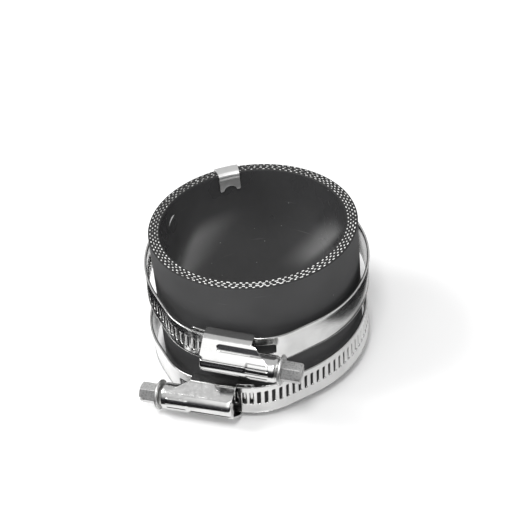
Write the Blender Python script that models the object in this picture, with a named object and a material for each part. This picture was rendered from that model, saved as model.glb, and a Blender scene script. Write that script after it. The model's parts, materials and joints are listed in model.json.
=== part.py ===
"""Charge air hose: a short moulded sleeve with two worm-drive clamps and a rim clip.

Everything is in metres with +Z up. The hose stands on its lower end, its axis upright.
Each clamp is modelled once, in its own frame, and placed twice:
X runs along its screw towards the head, Y points in to the hose axis, Z runs along the hose.
"""

import bpy
import bmesh
from math import acos, atan2, ceil, cos, hypot, pi, radians, sin, sqrt, tan
from mathutils import Matrix, Vector

MM = 0.001

# Clearances
GAP = 0.3 * MM                     # between pieces that touch on the real object
FLOOR_GAP = 1.2 * MM               # under the lowest point of the lower clamp

# Hose
HOSE_BORE_RADIUS = 32.5 * MM
HOSE_WALL = 4.0 * MM
HOSE_LENGTH = 52.0 * MM
HOSE_EDGE_ROUND = 0.5 * MM
HOSE_SEGMENTS = 88
HOSE_EDGE_STEPS = 2

# Clamp band
BAND_WIDTH = 12.0 * MM
BAND_THICKNESS = 0.7 * MM
BAND_EDGE_WIDTH = 0.9 * MM         # strip along each edge that is turned outwards
BAND_EDGE_RISE = 0.2 * MM
BAND_TIP_CORNER = 1.2 * MM
LAYER_PLAY = 0.9 * MM              # between the fixed end and the slotted end over it
TONGUE_REACH = 5.6 * MM            # fixed end beyond the housing, under the slotted end
FREE_END_INSET = 0.4 * MM          # slotted end short of the round neck
SLOT_PITCH = 2.38 * MM
SLOT_WIDTH = 1.15 * MM
SLOT_LENGTH = 5.4 * MM
SLOT_SKEW = 0.45 * MM              # lean of each slot, as the thread's lead gives it
SLOT_COUNT = 42
LAST_SLOT_INSET = 3.6 * MM         # middle of the last slot to the slotted end
WINDOW_LENGTH = 8.8 * MM
WINDOW_WIDTH = 4.4 * MM
WINDOW_OFFSET = 0.2 * MM
WINDOW_CORNER = 1.0 * MM
PLAIN_STEP = 3.2 * MM              # longest facet of the plain band

# Clamp loop, measured from the hose to the band's inner face
LOOP_PLAY = 1.45 * MM
FRONT_PLAY = 2.95 * MM
CORNER_RADIUS = 21.0 * MM
FLAT_HALF = 6.0 * MM

# Clamp housing
SHEET = 0.7 * MM
BODY_START = 6.9 * MM              # open end, behind the middle of the flat
BODY_END = 9.8 * MM                # where the side walls start to narrow
BODY_TAPER = 6.6 * MM              # length of the slanted cut
NECK_LENGTH = 3.2 * MM             # plain round neck past the slanted cut
PLATE_END = 9.0 * MM               # bottom plate, ending in the tab
TAB_WIDTH = 3.0 * MM
TAB_ROOT = 0.35 * MM               # how far the tab runs into the plate it is bent from
TUNNEL_RADIUS = 4.6 * MM           # outside
TUNNEL_OFFSET = 0.8 * MM           # screw axis off the band's middle
NECK_LIP = 1.2 * MM                # end of the neck, pinched in behind the flange
PRESSING_DEPTH = 0.35 * MM
PRESSING_RADIUS = 1.7 * MM
PRESSING_START = 0.6 * MM          # behind the middle of the flat
PRESSING_STEPS = 4                 # facets in a quarter of its round end
ARC_STEP = radians(10)

# Clamp screw
THREAD_PLAY = 0.6 * MM             # worm to tunnel wall
WORM_PLAY = 0.5 * MM               # worm to slotted band
GROOVE_DEPTH = 0.7 * MM
SCREW_INSET = 1.0 * MM             # worm's end inside the tunnel's open end
FLANGE_RADIUS = 5.3 * MM
FLANGE_THICKNESS = 1.0 * MM
HEX_ACROSS_FLATS = 6.35 * MM       # a quarter inch
HEX_LENGTH = 6.4 * MM
HEX_CHAMFER = 0.5 * MM
DRIVER_SLOT_WIDTH = 1.1 * MM
DRIVER_SLOT_DEPTH = 1.8 * MM
SCREW_SEGMENTS = 32

# Where the clamps hang: lean of the clamp's axis, turn of its screw, shift of its middle
UPPER_LEAN = (0.034, -0.100)
UPPER_TURN = radians(-19.2)
UPPER_SHIFT = (0.6 * MM, 0.5 * MM)
LOWER_LEAN = (-0.042, -0.017)
LOWER_TURN = radians(-22.2)
LOWER_SHIFT = (-1.3 * MM, -0.7 * MM)
CLAMP_SPACE = 10.6 * MM            # between the two bands, measured along the hose axis

# Rim clip
CLIP_AZIMUTH = radians(102.3)
CLIP_WIDTH = 8.8 * MM
CLIP_SHEET = 0.4 * MM
CLIP_INNER_LEG = 7.2 * MM
CLIP_CREASE = 2.3 * MM             # fold across the inner leg, below the bridge
CLIP_BULGE = 0.5 * MM              # how far the leg stands off the bore above that fold
CLIP_TOOTH = 1.7 * MM              # width of each of its two teeth
CLIP_NOTCH = 1.9 * MM              # height of the arch between them
CLIP_HOOK = 1.4 * MM               # upturned tip outside the band's lower edge
CLIP_STEPS = 12
BELT_STEPS = 360                   # places tried to find the band beside the clip

# Sizes that follow from the ones above
HOSE_RADIUS = HOSE_BORE_RADIUS + HOSE_WALL
LOOP_RADIUS = HOSE_RADIUS + LOOP_PLAY + BAND_THICKNESS / 2
FLAT_DISTANCE = HOSE_RADIUS + FRONT_PLAY + BAND_THICKNESS / 2
LAYER_STEP = BAND_THICKNESS + LAYER_PLAY
CAVITY_HALF_WIDTH = BAND_WIDTH / 2 + GAP
BODY_HALF_WIDTH = CAVITY_HALF_WIDTH + SHEET
CAVITY_FLOOR = -BAND_THICKNESS / 2 - GAP
CAVITY_TOP = LAYER_STEP + BAND_THICKNESS / 2 + BAND_EDGE_RISE + GAP
BORE_RADIUS = TUNNEL_RADIUS - SHEET
WORM_RADIUS = BORE_RADIUS - THREAD_PLAY
GROOVE_RADIUS = WORM_RADIUS - GROOVE_DEPTH
SCREW_HEIGHT = LAYER_STEP + BAND_THICKNESS / 2 + WORM_PLAY + WORM_RADIUS
NECK_START = BODY_END + BODY_TAPER
NECK_END = NECK_START + NECK_LENGTH
SLOT_LOW = -TUNNEL_OFFSET - SLOT_LENGTH / 2
SLOT_HIGH = -TUNNEL_OFFSET + SLOT_LENGTH / 2
WINDOW_START = PLATE_END - SHEET - GAP
WINDOW_END = WINDOW_START + WINDOW_LENGTH


def clear_scene():
    for item in list(bpy.data.objects):
        bpy.data.objects.remove(item, do_unlink=True)


def principled(name, colour, roughness, metallic):
    material = bpy.data.materials.new(name)
    material.use_nodes = True
    shader = material.node_tree.nodes["Principled BSDF"]
    shader.inputs["Base Color"].default_value = (*colour, 1.0)
    shader.inputs["Roughness"].default_value = roughness
    shader.inputs["Metallic"].default_value = metallic
    return material


def rubber(name):
    return principled(name, (0.045, 0.046, 0.048), 0.62, 0.0)


def bright_steel(name):
    return principled(name, (0.78, 0.79, 0.80), 0.22, 1.0)


def add_object(name, mesh, parent=None, material=None):
    item = bpy.data.objects.new(name, mesh)
    bpy.context.scene.collection.objects.link(item)
    item.parent = parent
    if material is not None:
        mesh.materials.clear()
        mesh.materials.append(material)
    return item


def finish_mesh(name, bm, smooth_angle=radians(30)):
    """Welds what meets, turns the faces outwards and shades the round stretches smooth."""
    bmesh.ops.remove_doubles(bm, verts=bm.verts, dist=0.001 * MM)
    bmesh.ops.recalc_face_normals(bm, faces=bm.faces)
    mesh = bpy.data.meshes.new(name)
    bm.to_mesh(mesh)
    bm.free()
    mesh.shade_smooth()
    mesh.set_sharp_from_angle(angle=smooth_angle)
    return mesh


def evaluated_mesh(item, name):
    """The mesh of an object with its modifiers applied."""
    graph = bpy.context.evaluated_depsgraph_get()
    mesh = bpy.data.meshes.new_from_object(item.evaluated_get(graph))
    mesh.name = name
    return mesh


def turned(name, profile, segments, axis):
    """Turns a profile of (radius, height) round the Z or X axis; a closed ring or a shaft."""
    bm = bmesh.new()
    rings = []
    for radius, height in profile:
        ring = []
        for step in range(segments):
            angle = 2 * pi * step / segments
            across = (radius * cos(angle), radius * sin(angle))
            place = (*across, height) if axis == "Z" else (height, *across)
            ring.append(bm.verts.new(place))
        rings.append(ring)
    closed = profile[0][0] > 0
    pairs = list(zip(rings, rings[1:])) + ([(rings[-1], rings[0])] if closed else [])
    for first, second in pairs:
        for step in range(segments):
            after = (step + 1) % segments
            bm.faces.new((first[step], first[after], second[after], second[step]))
    bmesh.ops.dissolve_degenerate(bm, dist=0.0001 * MM, edges=bm.edges)
    return finish_mesh(name, bm)


def prism(name, outline, start, end):
    """Extrudes an outline of (Y, Z) points along X."""
    bm = bmesh.new()
    near = [bm.verts.new((start, y, z)) for y, z in outline]
    far = [bm.verts.new((end, y, z)) for y, z in outline]
    bm.faces.new(near)
    bm.faces.new(far)
    for index in range(len(outline)):
        after = (index + 1) % len(outline)
        bm.faces.new((near[index], near[after], far[after], far[index]))
    return finish_mesh(name, bm)


def block(name, low, high):
    outline = [(low[1], low[2]), (high[1], low[2]), (high[1], high[2]), (low[1], high[2])]
    return prism(name, outline, low[0], high[0])


def combine(target, mesh, operation, location=(0, 0, 0)):
    """Adds a Boolean with a hidden tool made from the mesh."""
    tool = add_object(mesh.name, mesh, target.parent)
    tool.location = location
    tool.hide_render = True
    tool.display_type = "WIRE"
    boolean = target.modifiers.new(mesh.name, "BOOLEAN")
    boolean.operation = operation
    boolean.solver = "EXACT"
    boolean.object = tool
    return tool


# The clamp loop: a belt round a large circle about the hose and two small ones at the flat


def belt_angles():
    """Turn of the belt's normal at the end of the corner arc, and the straight side's length."""
    centre_distance = FLAT_DISTANCE - CORNER_RADIUS
    reach = hypot(FLAT_HALF, centre_distance)
    turn = atan2(FLAT_HALF, centre_distance) + acos((LOOP_RADIUS - CORNER_RADIUS) / reach)
    side = sqrt(reach ** 2 - (LOOP_RADIUS - CORNER_RADIUS) ** 2)
    return turn, side


BELT_TURN, BELT_SIDE = belt_angles()
BELT_HALF = FLAT_HALF + CORNER_RADIUS * BELT_TURN + BELT_SIDE + LOOP_RADIUS * (pi - BELT_TURN)
BELT_LENGTH = 2 * BELT_HALF


def belt_point(distance):
    """Point and outward normal on the belt, by the distance from the middle of the flat."""
    if distance < 0 or distance > BELT_HALF:
        mirrored = -distance if distance < 0 else BELT_LENGTH - distance
        point, normal = belt_point(mirrored)
        return Vector((-point.x, point.y)), Vector((-normal.x, normal.y))
    if distance <= FLAT_HALF:
        return Vector((distance, -FLAT_DISTANCE)), Vector((0.0, -1.0))
    distance -= FLAT_HALF
    if distance <= CORNER_RADIUS * BELT_TURN:
        angle = distance / CORNER_RADIUS
        normal = Vector((sin(angle), -cos(angle)))
        return Vector((FLAT_HALF, CORNER_RADIUS - FLAT_DISTANCE)) + CORNER_RADIUS * normal, normal
    distance -= CORNER_RADIUS * BELT_TURN
    if distance <= BELT_SIDE:
        normal = Vector((sin(BELT_TURN), -cos(BELT_TURN)))
        along = Vector((cos(BELT_TURN), sin(BELT_TURN)))
        return LOOP_RADIUS * normal + (distance - BELT_SIDE) * along, normal
    angle = BELT_TURN + (distance - BELT_SIDE) / LOOP_RADIUS
    normal = Vector((sin(angle), -cos(angle)))
    return LOOP_RADIUS * normal, normal


def band_point(distance):
    """As belt_point, with the band winding outwards by one layer on its way round."""
    if distance > BELT_LENGTH - FLAT_HALF:
        return Vector((distance - BELT_LENGTH, -FLAT_DISTANCE - LAYER_STEP)), Vector((0.0, -1.0))
    start = NECK_END
    share = min(max((distance - start) / (BELT_LENGTH - 2 * start), 0.0), 1.0)
    point, normal = belt_point(distance)
    return point + normal * LAYER_STEP * share, normal


BAND_START = -(BODY_START + TONGUE_REACH)
BAND_END = BELT_LENGTH + BODY_END - FREE_END_INSET
LAST_SLOT = BAND_END - LAST_SLOT_INSET
FIRST_SLOT = LAST_SLOT - (SLOT_COUNT - 1) * SLOT_PITCH


def spread(start, end, longest):
    """Even stations from start up to, and not including, end."""
    count = max(1, ceil((end - start) / longest))
    return [start + (end - start) * step / count for step in range(count)]


def band_stations():
    """(distance, hole's low edge, hole's high edge, edge's pull-in, hole after here, lean)."""
    window_low = WINDOW_OFFSET - WINDOW_WIDTH / 2
    window_high = WINDOW_OFFSET + WINDOW_WIDTH / 2
    window = (window_low, window_high)
    rounded = (window_low + WINDOW_CORNER, window_high - WINDOW_CORNER)
    rows = [(BAND_START, *window, BAND_TIP_CORNER, False, 0.0)]
    for distance in spread(BAND_START + BAND_TIP_CORNER, WINDOW_START, PLAIN_STEP):
        rows.append((distance, *window, 0.0, False, 0.0))
    for distance in spread(WINDOW_START, WINDOW_END - WINDOW_CORNER, PLAIN_STEP):
        rows.append((distance, *window, 0.0, True, 0.0))
    rows.append((WINDOW_END - WINDOW_CORNER, *window, 0.0, True, 0.0))
    rows.append((WINDOW_END, *rounded, 0.0, False, 0.0))
    slots_begin = FIRST_SLOT - SLOT_PITCH
    for distance in spread(WINDOW_END, slots_begin, PLAIN_STEP)[1:]:
        rows.append((distance, *window, 0.0, False, 0.0))
    for index in range(SLOT_COUNT):
        middle = FIRST_SLOT + index * SLOT_PITCH
        rows.append((middle - SLOT_WIDTH / 2, SLOT_LOW, SLOT_HIGH, 0.0, True, SLOT_SKEW / 2))
        rows.append((middle + SLOT_WIDTH / 2, SLOT_LOW, SLOT_HIGH, 0.0, False, SLOT_SKEW / 2))
    rows.append((BAND_END - BAND_TIP_CORNER, SLOT_LOW, SLOT_HIGH, 0.0, False, 0.0))
    rows.append((BAND_END, SLOT_LOW, SLOT_HIGH, BAND_TIP_CORNER, False, 0.0))
    return rows


def band_mesh():
    """One strip of sheet as a grid of cells, with the window's and the slots' cells left out."""
    bm = bmesh.new()
    rows = band_stations()
    outer = []
    inner = []
    for distance, low, high, pull_in, _, lean in rows:
        edge = BAND_WIDTH / 2 - pull_in
        crease = min(BAND_WIDTH / 2 - BAND_EDGE_WIDTH, edge - BAND_EDGE_WIDTH / 2)
        columns = [(-edge, BAND_EDGE_RISE, 0.0), (-crease, 0.0, 0.0), (low, 0.0, -lean),
                   (high, 0.0, lean), (crease, 0.0, 0.0), (edge, BAND_EDGE_RISE, 0.0)]
        outer_row = []
        inner_row = []
        for across, rise, shift in columns:
            point, normal = band_point(distance + shift)
            for row, side in ((outer_row, 0.5), (inner_row, -0.5)):
                place = point + normal * (rise + side * BAND_THICKNESS)
                row.append(bm.verts.new((place.x, place.y, across)))
        outer.append(outer_row)
        inner.append(inner_row)
    hole_column = 2
    cells = {(row, column) for row in range(len(rows) - 1) for column in range(5)
             if not (column == hole_column and rows[row][4])}
    for row, column in cells:
        corners = [(row, column), (row + 1, column), (row + 1, column + 1), (row, column + 1)]
        bm.faces.new([outer[r][c] for r, c in corners])
        bm.faces.new([inner[r][c] for r, c in reversed(corners)])
        neighbours = [(row, column - 1), (row + 1, column), (row, column + 1), (row - 1, column)]
        for side, neighbour in enumerate(neighbours):
            if neighbour in cells:
                continue
            first = corners[side]
            second = corners[(side + 1) % 4]
            bm.faces.new((outer[second[0]][second[1]], outer[first[0]][first[1]],
                          inner[first[0]][first[1]], inner[second[0]][second[1]]))
    loose = [vert for vert in bm.verts if not vert.link_faces]
    bmesh.ops.delete(bm, geom=loose, context="VERTS")
    return finish_mesh("band", bm)


# The clamp housing, pressed from one sheet that is wrapped round both layers of the band


def shoulder_angles():
    """Angles at which the straight shoulders meet the tunnel, from the corners of the box."""
    shoulder = CAVITY_TOP + SHEET
    angles = []
    for side in (1, -1):
        across = side * BODY_HALF_WIDTH + TUNNEL_OFFSET
        up = shoulder - SCREW_HEIGHT
        reach = hypot(across, up)
        angles.append(atan2(up, across) + side * acos(TUNNEL_RADIUS / reach))
    return angles[0], angles[1] % (2 * pi)


def housing_section(half_width, floor, radius):
    """Outline (Y, Z) of the housing or of its hollow; Z is the height across the band."""
    right, left = shoulder_angles()
    outline = [(-half_width, floor), (half_width, floor)]
    outline.append((half_width, shoulder_height(half_width, radius, right)))
    steps = ceil((left - right) / ARC_STEP)
    for step in range(steps + 1):
        angle = right + (left - right) * step / steps
        outline.append((radius * cos(angle) - TUNNEL_OFFSET, SCREW_HEIGHT + radius * sin(angle)))
    outline.append((-half_width, shoulder_height(-half_width, radius, left)))
    return [(-FLAT_DISTANCE - out, across) for across, out in outline]


def shoulder_height(across, radius, angle):
    """Height of the shoulder line above a point across the band."""
    return SCREW_HEIGHT + (radius - (across + TUNNEL_OFFSET) * cos(angle)) / sin(angle)


def slanted_cutter():
    """Takes the corners off the body, each along a slant that ends beside the round neck."""
    far = 4 * BODY_HALF_WIDTH
    bm = bmesh.new()
    for side, angle in zip((1, -1), shoulder_angles()):
        foot = TUNNEL_RADIUS * cos(angle) - TUNNEL_OFFSET
        slope = (side * BODY_HALF_WIDTH - foot) / BODY_TAPER
        outline = [(BODY_END - GAP, side * BODY_HALF_WIDTH + slope * GAP), (NECK_START, foot),
                   (NECK_START, -TUNNEL_OFFSET), (NECK_START + far, -TUNNEL_OFFSET),
                   (NECK_START + far, side * far), (BODY_END - GAP, side * far)]
        low = [bm.verts.new((x, -FLAT_DISTANCE - far, z)) for x, z in outline]
        high = [bm.verts.new((x, far - FLAT_DISTANCE, z)) for x, z in outline]
        bm.faces.new(low)
        bm.faces.new(high)
        for index in range(len(outline)):
            after = (index + 1) % len(outline)
            bm.faces.new((low[index], low[after], high[after], high[index]))
    return finish_mesh("slanted_cutter", bm)


def tunnel_cylinder(name, radius, start, end):
    steps = ceil(2 * pi / ARC_STEP)
    outline = []
    for step in range(steps):
        angle = 2 * pi * step / steps
        outline.append((-FLAT_DISTANCE - SCREW_HEIGHT - radius * sin(angle),
                        radius * cos(angle) - TUNNEL_OFFSET))
    return prism(name, outline, start, end)


def pressing():
    """Long round-ended groove along the wide shoulder."""
    right, _ = shoulder_angles()
    middle = (BODY_HALF_WIDTH + TUNNEL_RADIUS * cos(right) - TUNNEL_OFFSET) / 2
    height = shoulder_height(middle, TUNNEL_RADIUS, right)
    lift = PRESSING_RADIUS - PRESSING_DEPTH
    across = middle + lift * cos(right)
    out = height + lift * sin(right)
    profile = [(0.0, -PRESSING_START - PRESSING_RADIUS)]
    for step in range(1, PRESSING_STEPS + 1):
        angle = pi / 2 * step / PRESSING_STEPS
        profile.append((PRESSING_RADIUS * sin(angle), -PRESSING_START - PRESSING_RADIUS * cos(angle)))
    profile += [(PRESSING_RADIUS, NECK_END), (0.0, NECK_END)]
    mesh = turned("pressing", profile, 4 * PRESSING_STEPS, "X")
    return mesh, (0.0, -FLAT_DISTANCE - out, across)


def housing_mesh():
    overshoot = 1.0 * MM
    section = housing_section(BODY_HALF_WIDTH, CAVITY_FLOOR - SHEET, TUNNEL_RADIUS)
    body = add_object("housing_form", prism("housing_form", section, -BODY_START, NECK_START))
    combine(body, slanted_cutter(), "DIFFERENCE")
    hollow = housing_section(CAVITY_HALF_WIDTH, CAVITY_FLOOR, BORE_RADIUS)
    hollow_start = -BODY_START - overshoot
    combine(body, prism("hollow", hollow, hollow_start, NECK_START + overshoot), "DIFFERENCE")
    combine(body, tunnel_cylinder("neck", TUNNEL_RADIUS, BODY_END, NECK_END), "UNION")
    bore_end = NECK_END - NECK_LIP
    combine(body, tunnel_cylinder("bore", BORE_RADIUS, hollow_start, bore_end), "DIFFERENCE")
    mouth = tunnel_cylinder("mouth", GROOVE_RADIUS + GAP, bore_end - overshoot, NECK_END + overshoot)
    combine(body, mouth, "DIFFERENCE")
    below = block("below", (PLATE_END, -FLAT_DISTANCE - BAND_THICKNESS / 2 - GAP, -BAND_WIDTH),
                  (NECK_END, BAND_WIDTH - FLAT_DISTANCE, BAND_WIDTH))
    combine(body, below, "DIFFERENCE")
    tab = block("tab", (PLATE_END - SHEET, -FLAT_DISTANCE - BAND_THICKNESS / 2, -TAB_WIDTH / 2),
                (PLATE_END, -FLAT_DISTANCE - CAVITY_FLOOR + TAB_ROOT, TAB_WIDTH / 2))
    combine(body, tab, "UNION")
    groove, place = pressing()
    combine(body, groove, "DIFFERENCE", place)
    return evaluated_mesh(body, "housing")


# The clamp screw, its origin on its own axis below the flat's middle


def screw_mesh():
    worm_start = SCREW_INSET - BODY_START
    worm_end = NECK_END - NECK_LIP - GAP
    flange_start = NECK_END + GAP
    flange_end = flange_start + FLANGE_THICKNESS
    profile = [(0.0, worm_start), (WORM_RADIUS - GROOVE_DEPTH, worm_start),
               (WORM_RADIUS, worm_start + GROOVE_DEPTH), (WORM_RADIUS, worm_end),
               (GROOVE_RADIUS, worm_end), (GROOVE_RADIUS, flange_start),
               (FLANGE_RADIUS, flange_start), (FLANGE_RADIUS, flange_end), (0.0, flange_end)]
    shaft = add_object("screw_form", turned("screw_form", profile, SCREW_SEGMENTS, "X"))
    corner = HEX_ACROSS_FLATS / sqrt(3)
    head_end = flange_end + HEX_LENGTH
    chamfer = HEX_CHAMFER / tan(radians(60))
    hexagon = [(0.0, flange_end - FLANGE_THICKNESS / 2), (corner, flange_end - FLANGE_THICKNESS / 2),
               (corner, head_end - chamfer), (corner - HEX_CHAMFER, head_end), (0.0, head_end)]
    combine(shaft, turned("hexagon", hexagon, 6, "X"), "UNION")
    half = DRIVER_SLOT_WIDTH / 2
    slot = block("driver_slot", (head_end - DRIVER_SLOT_DEPTH, -HEX_ACROSS_FLATS, -half),
                 (head_end + HEX_CHAMFER, HEX_ACROSS_FLATS, half))
    combine(shaft, slot, "DIFFERENCE")
    return evaluated_mesh(shaft, "screw")


# Where each clamp hangs


def clamp_frame(lean, turn, flipped):
    """Rotation of a clamp: its axis leans, then it turns about that axis, head left if flipped."""
    axis = Vector((lean[0], lean[1], 1.0)).normalized()
    across = Vector((0.0, 1.0, 0.0)).cross(axis).normalized()
    inward = axis.cross(across)
    along = cos(turn) * across + sin(turn) * inward
    inward = cos(turn) * inward - sin(turn) * across
    if flipped:
        along = -along
        axis = -axis
    return Matrix((along, inward, axis)).transposed()


def lowest_point(rotation, meshes):
    return min((rotation @ vert.co).z for mesh in meshes for vert in mesh.vertices)


def band_underside(matrix, azimuth):
    """Height of the band's lower edge and reach of its outer face beside the clip."""
    best = None
    for step in range(BELT_STEPS):
        point, normal = band_point(BELT_LENGTH * step / BELT_STEPS)
        place = point + normal * (BAND_THICKNESS / 2 + BAND_EDGE_RISE)
        corner = matrix @ Vector((place.x, place.y, -BAND_WIDTH / 2))
        off = abs(atan2(corner.y, corner.x) - azimuth)
        if best is None or off < best[0]:
            best = (off, corner.z, hypot(corner.x, corner.y))
    return best[1], best[2]


# The rim clip, bent from spring sheet and curved with the hose


def clip_path(hook_height, hook_reach):
    """Hose side of the bent strip as (radius, height), from the teeth over the rim to the hook."""
    inner = HOSE_BORE_RADIUS - GAP
    outer = HOSE_RADIUS + GAP
    top = HOSE_LENGTH + GAP
    under = hook_height - CLIP_SHEET
    tip = hook_reach + CLIP_SHEET
    return [Vector(point) for point in (
        (inner, top - CLIP_INNER_LEG), (inner, top - CLIP_CREASE),
        (inner - CLIP_BULGE, top - CLIP_CREASE / 2), (inner - CLIP_BULGE / 2, top - CLIP_BULGE),
        (inner + CLIP_BULGE, top), (outer - CLIP_BULGE, top), (outer, top - CLIP_BULGE),
        (outer, under), (tip, under), (tip, under + CLIP_HOOK))]


def offset_path(path, distance):
    """The same path moved to its left, with mitred corners."""
    normals = []
    for first, second in zip(path, path[1:]):
        along = (second - first).normalized()
        normals.append(Vector((-along.y, along.x)))
    result = [path[0] + normals[0] * distance]
    for point, before, after in zip(path[1:], normals, normals[1:]):
        result.append(point + (before + after) * distance / (1 + before.dot(after)))
    result.append(path[-1] + normals[-1] * distance)
    return result


def clip_mesh(hook_height, hook_reach):
    """Rows of a bent strip from the inner leg's teeth, over the rim, down to the hook's tip."""
    bm = bmesh.new()
    near_path = clip_path(hook_height, hook_reach)
    half_angle = CLIP_WIDTH / 2 / HOSE_RADIUS
    tooth_angle = CLIP_TOOTH / HOSE_RADIUS
    sheets = []
    for path in (near_path, offset_path(near_path, CLIP_SHEET)):
        rows = []
        for index, (radius, height) in enumerate(path):
            row = []
            for step in range(CLIP_STEPS + 1):
                offset = half_angle * (2 * step / CLIP_STEPS - 1)
                angle = CLIP_AZIMUTH + offset
                lift = 0.0
                if index == 0:
                    share = min(abs(offset) / (half_angle - tooth_angle), 1.0)
                    lift = CLIP_NOTCH * sqrt(1 - share ** 2)
                place = (radius * cos(angle), radius * sin(angle), height + lift)
                row.append(bm.verts.new(place))
            rows.append(row)
        sheets.append(rows)
    near, far = sheets
    last = len(near_path) - 1
    for index in range(last):
        for step in range(CLIP_STEPS):
            for rows in sheets:
                bm.faces.new((rows[index][step], rows[index][step + 1],
                              rows[index + 1][step + 1], rows[index + 1][step]))
        for step in (0, CLIP_STEPS):
            bm.faces.new((near[index][step], near[index + 1][step],
                          far[index + 1][step], far[index][step]))
    for index in (0, last):
        for step in range(CLIP_STEPS):
            bm.faces.new((near[index][step], far[index][step],
                          far[index][step + 1], near[index][step + 1]))
    return finish_mesh("rim_clip", bm)


def hose_mesh():
    inner = HOSE_BORE_RADIUS
    outer = HOSE_RADIUS
    profile = []
    corners = ((inner, 0.0, 1, 1), (outer, 0.0, -1, 1),
               (outer, HOSE_LENGTH, -1, -1), (inner, HOSE_LENGTH, 1, -1))
    for index, (radius, height, inward, upward) in enumerate(corners):
        arc = []
        for step in range(HOSE_EDGE_STEPS + 1):
            angle = pi / 2 * step / HOSE_EDGE_STEPS
            arc.append((radius + inward * HOSE_EDGE_ROUND * (1 - sin(angle)),
                        height + upward * HOSE_EDGE_ROUND * (1 - cos(angle))))
        profile += arc if index % 2 else arc[::-1]
    return turned("hose", profile, HOSE_SEGMENTS, "Z")


def centre_footprint(root, pieces):
    """Moves the whole part so that its footprint is centred on the origin."""
    bpy.context.view_layer.update()
    corners = [piece.matrix_world @ vert.co for piece in pieces for vert in piece.data.vertices]
    root.location.x -= (min(c.x for c in corners) + max(c.x for c in corners)) / 2
    root.location.y -= (min(c.y for c in corners) + max(c.y for c in corners)) / 2


def build():
    clear_scene()
    root = add_object("charge_air_hose", None)
    pieces = [add_object("hose", hose_mesh(), root, rubber("hose"))]

    meshes = {"band": band_mesh(), "housing": housing_mesh(), "screw": screw_mesh()}
    for tool in [item for item in bpy.data.objects if item.name.endswith("_form") or item.hide_render]:
        bpy.data.objects.remove(tool, do_unlink=True)
    screw_place = Vector((0.0, -FLAT_DISTANCE - SCREW_HEIGHT, -TUNNEL_OFFSET))

    lower = clamp_frame(LOWER_LEAN, LOWER_TURN, flipped=True)
    upper = clamp_frame(UPPER_LEAN, UPPER_TURN, flipped=False)
    lower_height = FLOOR_GAP - lowest_point(lower, (meshes["band"], meshes["housing"]))
    upper_height = lower_height + BAND_WIDTH + CLAMP_SPACE
    placings = {"upper": (upper, (*UPPER_SHIFT, upper_height)),
                "lower": (lower, (*LOWER_SHIFT, lower_height))}
    for name, (rotation, location) in placings.items():
        clamp = add_object(name + "_clamp", None, root)
        clamp.matrix_local = Matrix.Translation(location) @ rotation.to_4x4()
        for part, mesh in meshes.items():
            label = name + "_" + part
            piece = add_object(label, mesh.copy(), clamp, bright_steel(label))
            if part == "screw":
                piece.location = screw_place
            pieces.append(piece)

    upper_matrix = Matrix.Translation(placings["upper"][1]) @ upper.to_4x4()
    edge_height, edge_reach = band_underside(upper_matrix, CLIP_AZIMUTH)
    clip = clip_mesh(edge_height - GAP, edge_reach + GAP)
    pieces.append(add_object("rim_clip", clip, root, bright_steel("rim_clip")))
    centre_footprint(root, pieces)


build()
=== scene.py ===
"""Looks of a charge air hose: a rubber sleeve with knitted plies, two worm-drive clamps and a clip.

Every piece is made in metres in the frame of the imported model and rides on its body. A clamp's
pieces are made in the clamp's own frame, where X runs along its screw towards the head, Y points
in to the hose axis and Z runs along the hose, and are then placed where the clamp hangs.
"""

import json
from math import acos, atan2, ceil, cos, hypot, pi, radians, sin, sqrt, tan

import bmesh
import bpy
from bpy.props import FloatProperty, FloatVectorProperty, IntProperty, PointerProperty
from mathutils import Matrix, Vector


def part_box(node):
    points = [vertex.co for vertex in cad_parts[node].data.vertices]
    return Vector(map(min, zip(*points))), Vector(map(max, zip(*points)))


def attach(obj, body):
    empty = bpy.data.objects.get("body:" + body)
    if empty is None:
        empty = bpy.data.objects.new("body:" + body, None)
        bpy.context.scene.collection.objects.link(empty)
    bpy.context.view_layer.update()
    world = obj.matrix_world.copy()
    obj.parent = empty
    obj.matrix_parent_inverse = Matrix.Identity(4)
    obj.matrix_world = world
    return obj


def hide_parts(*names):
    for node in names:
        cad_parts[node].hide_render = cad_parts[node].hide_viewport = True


bl_info = {
    "name": "Charge Air Hose",
    "version": (1, 0, 0),
    "blender": (4, 5, 0),
    "location": "View3D > Sidebar > Hose",
    "description": "Builds the looks of a charge air hose with its two clamps and rim clip",
    "category": "Add Mesh",
}

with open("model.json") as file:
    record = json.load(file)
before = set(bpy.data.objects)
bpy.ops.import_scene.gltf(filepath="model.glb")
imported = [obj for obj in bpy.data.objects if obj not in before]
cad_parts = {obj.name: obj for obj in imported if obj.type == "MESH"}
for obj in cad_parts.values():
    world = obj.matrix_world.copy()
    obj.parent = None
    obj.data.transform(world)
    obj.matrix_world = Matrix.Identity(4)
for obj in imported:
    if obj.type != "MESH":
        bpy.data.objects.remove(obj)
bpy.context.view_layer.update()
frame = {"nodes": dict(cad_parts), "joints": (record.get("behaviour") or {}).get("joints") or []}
MM = 0.001

# The hose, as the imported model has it
HOSE_LOW, HOSE_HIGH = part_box("hose")
HOSE_AXIS = Vector(((HOSE_LOW.x + HOSE_HIGH.x) / 2, (HOSE_LOW.y + HOSE_HIGH.y) / 2, 0.0))
HOSE_RADIUS = (HOSE_HIGH.x - HOSE_LOW.x) / 2
HOSE_WALL = 4.0 * MM
HOSE_BORE_RADIUS = HOSE_RADIUS - HOSE_WALL
HOSE_MIDDLE = (HOSE_LOW.z + HOSE_HIGH.z) / 2
GAP = 0.3 * MM

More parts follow.
